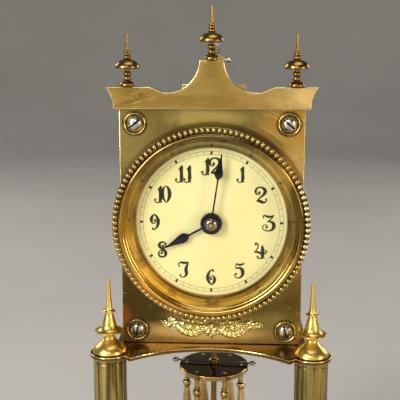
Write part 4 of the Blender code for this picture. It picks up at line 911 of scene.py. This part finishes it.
# ================================================================ hands
def hand(name, hub, bore, flank, y0, y1, deg, body, node):
    line = spline(flank, 8)
    a0 = math.asin(line[0][0] / hub)
    outer = [(hub * math.sin(a0 + (2 * math.pi - 2 * a0) * i / 60), hub * math.cos(a0 + (2 * math.pi - 2 * a0) * i / 60)) for i in range(61)]
    outer += [(-w, r) for w, r in line[1:]] + [(w, r) for w, r in reversed(line[1:])]
    vs, fs, soft = slab(outer, [circle(bore, 40)], y0, y1, 0.16, 0.05)
    piece(name, (spin(vs, deg), fs), BLUED, body, node, (0, 0, DIAL_Z), smooth=50)


hand('hour_hand_cut', 5.5, 2.9, [(0.60, 5.45), (0.56, 7.5), (0.52, 11.5), (0.62, 12.9), (1.35, 13.7), (2.15, 14.9), (2.42, 16.2), (2.2, 17.8),
                                 (1.6, 20.2), (0.95, 22.9), (0.5, 25.6), (0.26, 27.6), (0.20, 28.75)], -45.6, -45.0, 241.2,
     'hour_hand_wheel', 'hour_hand')
hand('minute_hand_cut', 5.3, 2.05, [(0.44, 5.25), (0.42, 10.0), (0.40, 21.8), (0.52, 23.0), (1.25, 23.8), (1.95, 24.9), (2.15, 26.0),
                                    (1.95, 27.3), (1.35, 29.4), (0.8, 32.0), (0.42, 34.6), (0.20, 36.45)], -47.5, -46.9, 8.4,
     'minute_hand_arbor', 'minute_hand')
prof = path((1.25, -47.75), (3.1, -47.75), [(3.28, -47.85), (3.3, -48.1), (3.15, -48.7), (2.75, -49.2), (2.2, -49.6), (1.7, -49.8)],
            (1.45, -49.8), (1.25, -49.6), soft=0.06)
piece('collet_turned', lathe(prof, 64, 'Y', closed=True), NUT, 'minute_hand_arbor', 'hand_collet', (0, 0, DIAL_Z))


# ================================================================ gilt garland
def leaf(x, z, deg, ln, wd, h, base=-42.32, curl=0.35, teeth=0):
    """A pointed leaf with a raised midrib; deg 0 points to +Z and grows clockwise."""
    nu, nv = 12, 9
    top, bot = [], []
    for i in range(nu + 1):
        u = i / nu
        half_w = max(wd / 2 * math.sin(math.pi * min(1.0, (u * 0.94 + 0.05)) ** 0.8) ** 0.8, 0.04)
        if teeth:
            half_w *= 1 - 0.20 * abs(math.sin(teeth * math.pi * u))
        for j in range(nv):
            v = 2 * j / (nv - 1) - 1
            rise = (1 - v * v) ** 0.6 * math.sin(math.pi * min(1, u * 0.9 + 0.08)) ** 0.5
            rib = 0.25 * math.exp(-(v / 0.16) ** 2) - 0.16 * math.exp(-((abs(v) - 0.45) / 0.16) ** 2)
            y = base - h * (0.25 + 0.75 * rise + rib * (1 - u)) - curl * h * math.sin(math.pi * u) * 0.5
            px, pz = half_w * v + curl * ln * 0.12 * math.sin(math.pi * u), ln * u
            top.append((px, y, pz))
            bot.append((px, base + 0.03, pz))
    vs = spin(top + bot, deg)
    vs = [(a + x, b, c + z) for a, b, c in vs]
    n, fs = len(top), []
    for i in range(nu):
        for j in range(nv - 1):
            a = i * nv + j
            fs += [[a, a + 1, a + nv + 1, a + nv], [n + a, n + a + nv, n + a + nv + 1, n + a + 1]]
    edge = [j for j in range(nv)] + [(i + 1) * nv - 1 for i in range(1, nu + 1)] + [nu * nv + j for j in range(nv - 2, -1, -1)] \
        + [i * nv for i in range(nu - 1, 0, -1)]
    for a, b in zip(edge, edge[1:] + edge[:1]):
        fs.append([a, n + a, n + b, b])
    return vs, fs


def scroll(cx, cz, r0, r1, a0, a1, thick, y=-43.0):
    """A tapering spiral in the plane of the plate, from radius r0 to r1."""
    pts, rad, n = [], [], 26
    for i in range(n + 1):
        t = i / n
        a, r = math.radians(a0 + (a1 - a0) * t), r0 + (r1 - r0) * t
        pts.append((cx + r * math.sin(a), y, cz + r * math.cos(a)))
        rad.append(thick * (1 - 0.45 * t))
    return join(tube(pts, rad, 8), ball(*pts[-1], thick * 0.95, n=10, m=6))


def swag(pts, thick, y=-43.0, twist=5.0):
    """A hanging festoon: a fat tube made of three twisted strands."""
    line = spline(pts, 9)
    out = []
    for k in range(3):
        p, r = [], []
        for i, (x, z) in enumerate(line):
            t = i / (len(line) - 1)
            fat = thick * (0.45 + 0.75 * math.sin(math.pi * t) ** 0.8)
            a = twist * math.pi * t + 2 * math.pi * k / 3
            q = line[min(i + 1, len(line) - 1)] if i < len(line) - 1 else line[i]
            o = line[max(i - 1, 0)]
            dx, dz = q[0] - o[0], q[1] - o[1]
            ln = math.hypot(dx, dz) or 1e-9
            s = 0.55 * fat * math.cos(a)
            p.append((x - dz / ln * s, max(y - 0.35 * fat * math.sin(a), -43.75), z + dx / ln * s))
            r.append(fat * 0.62)
        out.append(tube(p, [min(v, 0.86) for v in r], 8))
    return join(*out)


G0 = P
parts = []
# a thin pierced backing holds the casting together
edge_line = [(-25.0, 10.4), (-23.6, 11.8), (-20.4, 12.9), (-15.6, 12.0), (-11.4, 10.6), (-5.0, 10.3), (0.3, 10.1), (5.0, 10.4), (9.0, 10.7), (14.4, 12.0),
             (18.0, 12.0), (20.8, 11.6), (23.0, 11.8), (25.4, 10.6), (24.6, 9.4), (21.5, 8.6), (17.2, 6.6), (13.2, 4.4), (9.6, 3.7), (6.8, 4.6), (4.0, 6.4),
             (2.4, 5.0), (0.3, 3.8), (-2.4, 4.8), (-4.4, 6.2), (-7.6, 4.2), (-11.8, 4.4), (-15.2, 7.0), (-19.4, 6.8), (-23.4, 8.6)]
smooth = spline(edge_line + edge_line[:1], 8)[:-1]
wavy = []
for i, (x, z) in enumerate(smooth):
    q, o = smooth[(i + 1) % len(smooth)], smooth[i - 1]
    dx, dz = q[0] - o[0], q[1] - o[1]
    ln = math.hypot(dx, dz) or 1e-9
    w = 0.28 * abs(math.sin(i * 0.62)) - 0.1
    wavy.append((x + dz / ln * -w, G0 + z + dx / ln * w))
parts.append(slab(wavy, [], -42.75, -42.32, 0.12, 0.0)[:2])
# rows of small overlapping leaves across the band
for k in range(12):
    x = -12.6 + 2.3 * k
    lift = 0.0 if abs(x) < 7 else 0.5
    parts.append(leaf(x, G0 + 10.2 + lift, 180 + (26 if k % 2 else -24), 3.7, 2.1, 0.95, base=-42.6, teeth=2))
for k in range(9):
    x = -11.2 + 2.8 * k
    parts.append(leaf(x, G0 + 7.9, (150 if k % 2 else 215), 2.9, 1.8, 0.95, base=-42.7, teeth=2))
# centre: an open flower over hanging leaves
for k, (dg, ln, wd) in enumerate(((180, 5.2, 2.4), (152, 4.4, 2.1), (208, 4.4, 2.1), (128, 4.2, 1.9), (232, 4.2, 1.9), (100, 4.0, 1.7), (260, 4.0, 1.7))):
    parts.append(leaf(0.3, G0 + 8.6, dg, ln * 1.1, wd * 1.25, 0.95, teeth=3))
for k in range(6):
    parts.append(leaf(0.3, G0 + 9.4, 60 * k + 20, 2.5, 1.7, 0.95, base=-42.9))
parts.append(ball(0.3, -43.75, G0 + 9.4, 0.62, 0.5, 0.62, 14, 8))
for k in range(7):
    a = 2 * math.pi * k / 7
    parts.append(ball(0.3 + 0.95 * math.sin(a), -43.75, G0 + 9.4 + 0.95 * math.cos(a), 0.26, 0.3, 0.26, 8, 6))
# festoons either side, with scrolls over them
parts.append(swag([(-18.2, G0 + 10.6), (-15.6, G0 + 7.6), (-11.6, G0 + 6.0), (-7.2, G0 + 6.2), (-3.2, G0 + 8.6)], 1.6))
parts.append(swag([(3.6, G0 + 8.8), (7.0, G0 + 6.4), (11.0, G0 + 5.5), (14.8, G0 + 6.4), (17.0, G0 + 8.4)], 1.6))
for sx in (-1, 1):
    for k, (x, z, dg, ln, wd) in enumerate(((4.6, 11.0, 62, 4.6, 1.9), (4.0, 12.4, 88, 4.4, 1.6), (8.8, 10.4, 118, 3.8, 1.9), (9.0, 11.4, 64, 3.8, 1.8),
                                            (12.4, 11.2, 96, 4.0, 1.9), (12.0, 12.6, 70, 3.4, 1.6), (15.2, 9.8, 140, 3.2, 1.8),
                                            (3.0, 11.6, 20, 2.6, 1.6), (7.6, 12.4, 30, 2.2, 1.5))):
        parts.append(leaf(sx * x, G0 + z, sx * dg, ln * 1.1, wd * 1.3, 0.85 + 0.12 * (k % 3), teeth=2 + k % 2))
    parts.append(scroll(sx * 7.0, G0 + 9.0, 1.7, 0.45, 90 if sx > 0 else 270, (90 + sx * 480) if sx > 0 else (270 - 480), 0.42))
    parts.append(ball(sx * 5.2, -43.3, G0 + 9.6, 0.55, 0.5, 0.55, 10, 6))
    parts.append(ball(sx * 10.6, -43.3, G0 + 10.0, 0.6, 0.5, 0.6, 10, 6))
    parts.append(ball(sx * 10.9, -43.3, G0 + 8.9, 0.5, 0.45, 0.5, 10, 6))
# left cluster of leaves and berries
for k in range(9):
    dg = 200 + 38 * k
    parts.append(leaf(-20.6 + 0.5 * math.sin(k * 2.4), G0 + 11.4 + 0.4 * math.cos(k * 1.7), dg, 3.8 + 0.5 * math.sin(k * 3.1), 2.2, 0.95, teeth=3))
for k, (x, z, r) in enumerate(((-20.6, 11.4, 0.72), (-24.0, 12.6, 0.55), (-25.2, 11.8, 0.5), (-24.6, 10.8, 0.5), (-25.9, 12.6, 0.42),
                               (-22.2, 13.9, 0.5), (-18.8, 13.4, 0.48), (-21.2, 8.2, 0.5), (-17.6, 12.2, 0.5))):
    parts.append(ball(x, -43.2, G0 + z, r, 0.5, r, 10, 6))
# right: an open scroll, a rosette, a small ring and a last leaf
parts.append(scroll(15.4, G0 + 9.0, 2.5, 0.7, -60, 430, 0.5))
for k in range(8):
    dg = 20 + 44 * k
    parts.append(leaf(20.2 + 0.4 * math.sin(k * 1.9), G0 + 11.0 + 0.4 * math.cos(k * 2.3), dg, 3.4 + 0.4 * math.sin(k * 2.2), 2.0, 0.9, teeth=2))
parts.append(ball(20.2, -43.4, G0 + 11.0, 0.66, 0.5, 0.66, 12, 6))
pts = [(24.3 + 1.35 * math.sin(math.radians(a)), -42.85, G0 + 11.0 + 1.35 * math.cos(math.radians(a))) for a in range(0, 361, 15)]
parts.append(tube(pts, [0.42] * len(pts), 8))
parts.append(leaf(25.4, G0 + 10.9, 112, 2.3, 1.2, 0.55, teeth=2))
parts.append(leaf(25.2, G0 + 11.2, 82, 1.9, 1.0, 0.5))
parts.append(ball(27.0, -42.8, G0 + 10.0, 0.4, 0.4, 0.4, 8, 6))
piece('garland_cast', join(*parts), GILT, rep='garland_mount', smooth=55)

# ================================================================ pendulum
prof = path((1.95, 97.2), (19.2, 97.2), [(19.7, 97.3), (19.95, 97.7), (19.95, 98.4)], [(19.7, 98.6), (19.7, 98.8)], [(19.95, 99.0), (19.95, 99.7), (19.6, 100.15)],
            (18.9, 100.2), (1.95, 100.2))
# painted light and shade: the top disc is a near-black shaded copy of the brass, painted shade, and its rim faces take
# a lit copy, a painted highlight
SHADED_TOP_BRASS = brass('pendulum_brass_shaded', (0.085, 0.04, 0.003), (0.05, 0.022, 0.002), rough=(0.12, 0.24), grain=(0.3, 0.3, 4.0), patina=0.7, edge=0.4,
             hollow=(1.4, 0.6))
LIT_RIM_BRASS = brass('pendulum_rim_brass_lit', (0.58, 0.40, 0.15), (0.34, 0.22, 0.07), rough=(0.16, 0.28), grain=(0.3, 0.3, 4.0), patina=0.7, edge=0.3, hollow=(1.4, 0.6))
vs, fs = lathe(prof, 96, closed=True)[:2]
rim = [i for i, f in enumerate(fs) if min(math.hypot(vs[k][0], vs[k][1]) for k in f) > 19.1]
piece('pendulum_gallery_disc', (vs, fs, rim), SHADED_TOP_BRASS, 'pendulum', 'pendulum_top_disc', edge=LIT_RIM_BRASS)
GALLERY = brass('gallery_brass', (0.78, 0.58, 0.25), (0.34, 0.20, 0.055), rough=(0.10, 0.20), grain=(0.2, 0.2, 3.0), patina=1.0,
                edge=0.3, hollow=(1.6, 0.9), tarnish_and_shade=(0.05, 0.03, 0.01), speck=0.15, bump=0.02, relief=0.5)
prof = path((2.0, 48.0), (30.0, 48.0), (31.0, 48.6), (33.6, 48.6), [(34.4, 48.1), (36.6, 48.8), (37.8, 50.2), (38.0, 51.4)], (37.7, 51.8), (37.7, 52.3),
            [(38.0, 52.6), (38.0, 55.8)], (37.7, 56.0), (37.7, 56.5), [(37.9, 56.9), (37.3, 58.4), (36.0, 59.5), (34.8, 59.7)], (33.6, 59.55), (33.2, 59.3),
            (32.4, 59.3), (32.0, 59.6), (20.0, 59.7), (19.6, 59.5), (19.0, 59.5), (18.6, 59.7), (2.0, 59.7))
piece('pendulum_heavy_disc', lathe(prof, 128, closed=True), BASE, 'pendulum', 'pendulum_disc')
s = 60.0
gal = path((0, s), (3.3, s), (3.4, s + 1.4), [(3.0, s + 1.8), (2.3, s + 2.4), (2.1, s + 3.0)], [(2.3, s + 3.5), (2.9, s + 4.4), (2.9, s + 4.9), (2.3, s + 5.7)],
           (2.0, s + 6.0), [(2.3, s + 6.5), (3.1, s + 7.6), (3.35, s + 9.0), (3.2, s + 11.0), (2.7, s + 15.0), (2.15, s + 20.0), (1.75, s + 24.0), (1.6, s + 25.2)],
           (1.75, s + 25.5), (1.6, s + 25.9), [(1.9, s + 26.2), (2.45, s + 27.0), (2.55, s + 27.9), (2.4, s + 28.8), (1.9, s + 29.6)], (1.5, s + 30.0),
           (1.9, s + 30.4), (1.9, s + 30.9), [(1.55, s + 31.2), (1.5, s + 33.0), (1.6, s + 35.6)], (1.9, 96.0), (1.9, 96.9), (0.9, 96.95), (0.9, 100.2),
           [(0.85, 100.4), (0.6, 100.58), (0, 100.6)], soft=0.1, k=5)
for k in range(6):
    d = math.radians(85.0 + 60 * k)
    piece('gallery_pillar_%d' % (k + 1), lathe(gal, 40), GALLERY, 'pendulum', 'pendulum_pillar_%d' % (k + 1),
          (15.8 * math.sin(d), -15.8 * math.cos(d), 0))
zt = 100.2
prof = path([(0, 36.5), (0.6, 36.7), (1.1, 37.2), (1.3, 37.9)], (1.4, 43.9), (4.3, 44.0), (4.6, 44.4), (4.6, 47.4), (4.4, 47.7), (1.65, 47.7),
            (1.65, zt + 0.3), (2.9, zt + 0.3), (3.0, zt + 0.5), (3.0, zt + 2.4), [(2.9, zt + 2.6), (2.3, zt + 3.0), (1.75, zt + 3.6)], (1.65, zt + 4.2),
            (1.65, 145.6), [(1.8, 146.2), (2.5, 146.7), (2.7, 147.2)], (2.7, 148.2), (2.5, 148.4), (2.5, 148.8), (2.7, 149.0), (2.7, 153.2), (2.5, 153.5),
            (1.5, 153.5), (1.5, 149.0), (0, 149.0))
ob = piece('pendulum_rod', lathe(prof, 48), TURNED, 'pendulum', 'pendulum_post')
turn = 85.0 - 90.0
thread = []
x = -24.0
while x < -15.0:
    thread += [(0.50, x), (0.60, x + 0.125)]
    x += 0.25
prof = [(0, -24.2), (0.45, -24.2)] + thread + [(0.55, -14.9), (0.55, 14.9)] + [(r, -t) for r, t in reversed(thread)] + [(0.45, 24.2), (0, 24.2)]
vs, fs = lathe(prof, 20, 'X')
piece('regulator_spindle', (spin(vs, turn, 'Z'), fs), DARKST, 'regulator', 'regulator_bar', (0, 0, 101.5))
for side, sx in (('left', -1), ('right', 1)):
    vs, fs = lathe([(0.85, -1.4), (1.2, -1.4), (1.35, -1.22), (1.35, -0.3), (1.22, -0.22), (1.22, 0.22), (1.35, 0.3), (1.35, 1.22), (1.2, 1.4), (0.85, 1.4)],
                   32, 'X', closed=True)
    vs = [(x + sx * 22.2, y, z) for x, y, z in vs]
    piece('regulator_nut_turned_' + side, (spin(vs, turn, 'Z'), fs), STEEL, 'regulator_nut_' + side, 'regulator_nut_' + side, (0, 0, 101.5))

# ================================================================ suspension
tee = [(17.0, P + 118.0), (17.0, P + 133.0), (7.5, P + 133.0)] + spline([(7.3, P + 133.05), (6.4, P + 133.8), (5.5, P + 135.2), (5.2, P + 137.0)], 5) + [(5.2, P + 147.5)]
loop = tee + [(-x, z) for x, z in reversed(tee)]
piece('suspension_back', slab(loop, [], -8.2, -6.0, 0.2, 0.3), BACKP, rep='suspension_bracket', edge=EDGE_WEAR_SHEEN)
arm = [(5.0, -6.9), (5.0, 3.8), (4.8, 4.0), (1.9, 4.0), (1.7, 3.8), (1.7, -1.6)]
loop = arm + [(-x, y) for x, y in reversed(arm)]
piece('suspension_arm', slab(loop, [], P + 143.2, P + 147.4, 0.2, 0.3, 'Z'), EDGE_WEAR_SHEEN)
vs, fs = lathe(path((0, 3.0), (0.9, 3.0), (0.9, 6.7), (1.7, 6.8), (1.75, 7.2), (1.75, 8.2), (1.5, 8.6), (0, 8.7), soft=0.06), 32, 'X')
piece('suspension_side_screw', (shift(vs, 0, 1.2, P + 145.4), fs), STEEL)
for sx in (-1, 1):
    for zz in (122.0, 129.5):
        vs, fs = lathe(path([(0, -4.6), (1.0, -4.7), (1.9, -5.0)], (2.3, -5.4), (2.3, -6.1), (0, -6.1), soft=0.08), 32, 'Y')
        ob = piece('bracket_screw_%s_%d' % ('lr'[sx > 0], int(zz)), (vs, fs), STEEL, at=(sx * 12.0, 0, P + zz))
        slotted(ob, sx * 12.0, -5.5, -4.0, P + zz, 3.0, 0.25, 20.0 + 47.0 * sx + 9.0 * zz)
TOP = P + 147.8
g = slab([(-2.9, -1.5), (2.9, -1.5), (2.9, 1.5), (-2.9, 1.5)], [], TOP, TOP + 6.5, 0.15, 0.3, 'Z')
piece('suspension_block', g, STEEL)
pts = []
n = 90
vs, fs = [], []
for i in range(n + 1):
    z = 149.6 + (TOP - 149.6) * i / n
    vs += [(-1.1, -0.09, z), (1.1, -0.09, z), (1.1, 0.09, z), (-1.1, 0.09, z)]
for i in range(n):
    for k in range(4):
        q = (k + 1) % 4
        fs.append([4 * i + k, 4 * i + q, 4 * i + 4 + q, 4 * i + 4 + k])
fs += [[3, 2, 1, 0], [4 * n, 4 * n + 1, 4 * n + 2, 4 * n + 3]]
ob = piece('suspension_strip', (vs, fs), RAW, None, 'suspension_spring')
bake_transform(ob)

# ================================================================ CAD pieces that keep their shape
KEPT = {'barrel': WHEEL, 'barrel_cap': WHEEL, 'mainspring': RAW, 'winding_arbor': ARBOR, 'click': ARBOR, 'anchor': ARBOR, 'anchor_fork': WHEEL,
        'centre_wheel': WHEEL, 'third_wheel': WHEEL, 'intermediate_wheel': WHEEL, 'escape_wheel': WHEEL, 'cannon_pinion': ARBOR,
        'hour_wheel': WHEEL, 'minute_wheel': WHEEL}
for node, mat in KEPT.items():
    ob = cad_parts[node]
    ob.data.materials.clear()
    ob.data.materials.append(mat)


# ================================================================ floor, light and camera
def studio():
    """A plain pale floor that curves up into a plain pale wall."""
    m = Nodes('studio_floor')
    n, q = m.noise(0.004, 3.0, 0.5), m.noise(0.2, 3.0, 0.5)
    m.link(m.mix(m.ramp(n, 0.3, 0.7, 0.0, 1.0), (0.56, 0.55, 0.53), (0.60, 0.59, 0.57)), m.bsdf.inputs['Base Color'])
    m.link(m.ramp(q, 0.3, 0.7, 0.6, 0.7), m.bsdf.inputs['Roughness'])
    m.bsdf.inputs['Specular IOR Level'].default_value = 0.1
    return m.mat


me = bpy.data.meshes.new('floor')
g = lathe([(0, -30.0), (2500.0, -30.0), (2500.0, 1500.0), (2470.0, 1500.0)]
          + [(1570.0 + 900.0 * math.cos(math.radians(5 * i)), 900.0 - 900.0 * math.sin(math.radians(5 * i))) for i in range(19)] + [(0, 0.0)], 128)
me.from_pydata([(x * MM, y * MM, z * MM) for x, y, z in g[0]], [], g[1])
outward(me)
me.materials.append(studio())
me.shade_smooth()
me.set_sharp_from_angle(angle=math.radians(40))
floor = bpy.data.objects.new('floor', me)
bpy.context.scene.collection.objects.link(floor)

world = bpy.data.worlds.new('studio')
bpy.context.scene.world = world
world.use_nodes = True
t = world.node_tree
t.nodes.clear()
out, bg = t.nodes.new('ShaderNodeOutputWorld'), t.nodes.new('ShaderNodeBackground')
tc, sp, rp = t.nodes.new('ShaderNodeTexCoord'), t.nodes.new('ShaderNodeSeparateXYZ'), t.nodes.new('ShaderNodeValToRGB')
t.links.new(tc.outputs['Generated'], sp.inputs[0])
t.links.new(sp.outputs['Z'], rp.inputs['Fac'])
rp.color_ramp.elements[0].position, rp.color_ramp.elements[0].color = 0.05, (0.050, 0.050, 0.053, 1)
rp.color_ramp.elements[1].position, rp.color_ramp.elements[1].color = 0.85, (0.10, 0.10, 0.104, 1)
t.links.new(rp.outputs[0], bg.inputs['Color'])
t.links.new(bg.outputs[0], out.inputs['Surface'])
bg.inputs['Strength'].default_value = 1.0


def area_light(name, where, target, size, power, color):
    li = bpy.data.lights.new(name, 'AREA')
    li.shape, li.size, li.size_y, li.energy, li.color = 'RECTANGLE', size[0], size[1], power, color
    ob = bpy.data.objects.new(name, li)
    bpy.context.scene.collection.objects.link(ob)
    ob.location = where
    ob.rotation_euler = (Vector(target) - Vector(where)).to_track_quat('-Z', 'Y').to_euler()
    ob.visible_camera = False
    return ob


area_light('key', (-0.85, -1.0, 0.75), (0, -0.04, 0.18), (0.40, 0.75), 13.0, (1.0, 0.985, 0.95))
area_light('front_soft', (-0.30, -1.5, 1.15), (0, -0.04, 0.2), (1.1, 0.5), 5.6, (1.0, 0.97, 0.91))
area_light('low_card', (0.12, -1.30, 0.40), (0, -0.04, 0.24), (1.5, 0.62), 0.5, (1.0, 0.95, 0.86))
area_light('right_card', (0.46, -1.25, 0.34), (0.03, -0.04, 0.24), (0.5, 0.5), 0.75, (1.0, 0.90, 0.74))
area_light('left_strip', (-0.48, -0.80, 0.16), (0, -0.04, 0.12), (0.06, 0.55), 0.9, (1.0, 0.97, 0.90))
area_light('warm_side', (0.95, -0.65, 0.38), (0, -0.04, 0.18), (0.22, 0.6), 5.0, (1.0, 0.78, 0.50))
area_light('top', (0.1, -0.10, 1.30), (0, 0, 0.2), (0.8, 0.6), 3.5, (1.0, 0.98, 0.95))
area_light('back_left', (-1.05, 0.85, 0.85), (0, 0, 0.18), (0.5, 0.6), 5.0, (1.0, 0.97, 0.93))
area_light('back_right', (1.05, 0.85, 0.60), (0, 0, 0.18), (0.5, 0.6), 4.0, (1.0, 0.93, 0.85))

bpy.context.scene.view_settings.view_transform = 'Standard'
cam = bpy.data.cameras.new('camera')
cam.sensor_width, cam.lens = 36.0, 858.9 * 36.0 / 400.0
cam.clip_start, cam.clip_end = 0.01, 20.0
ob = bpy.data.objects.new('camera', cam)
bpy.context.scene.collection.objects.link(ob)
ob.location = (0.0167, -0.4692, 0.2896)
ob.rotation_euler = (math.radians(90 - 11.21), math.radians(0.0), math.radians(3.02))
bpy.context.scene.camera = ob
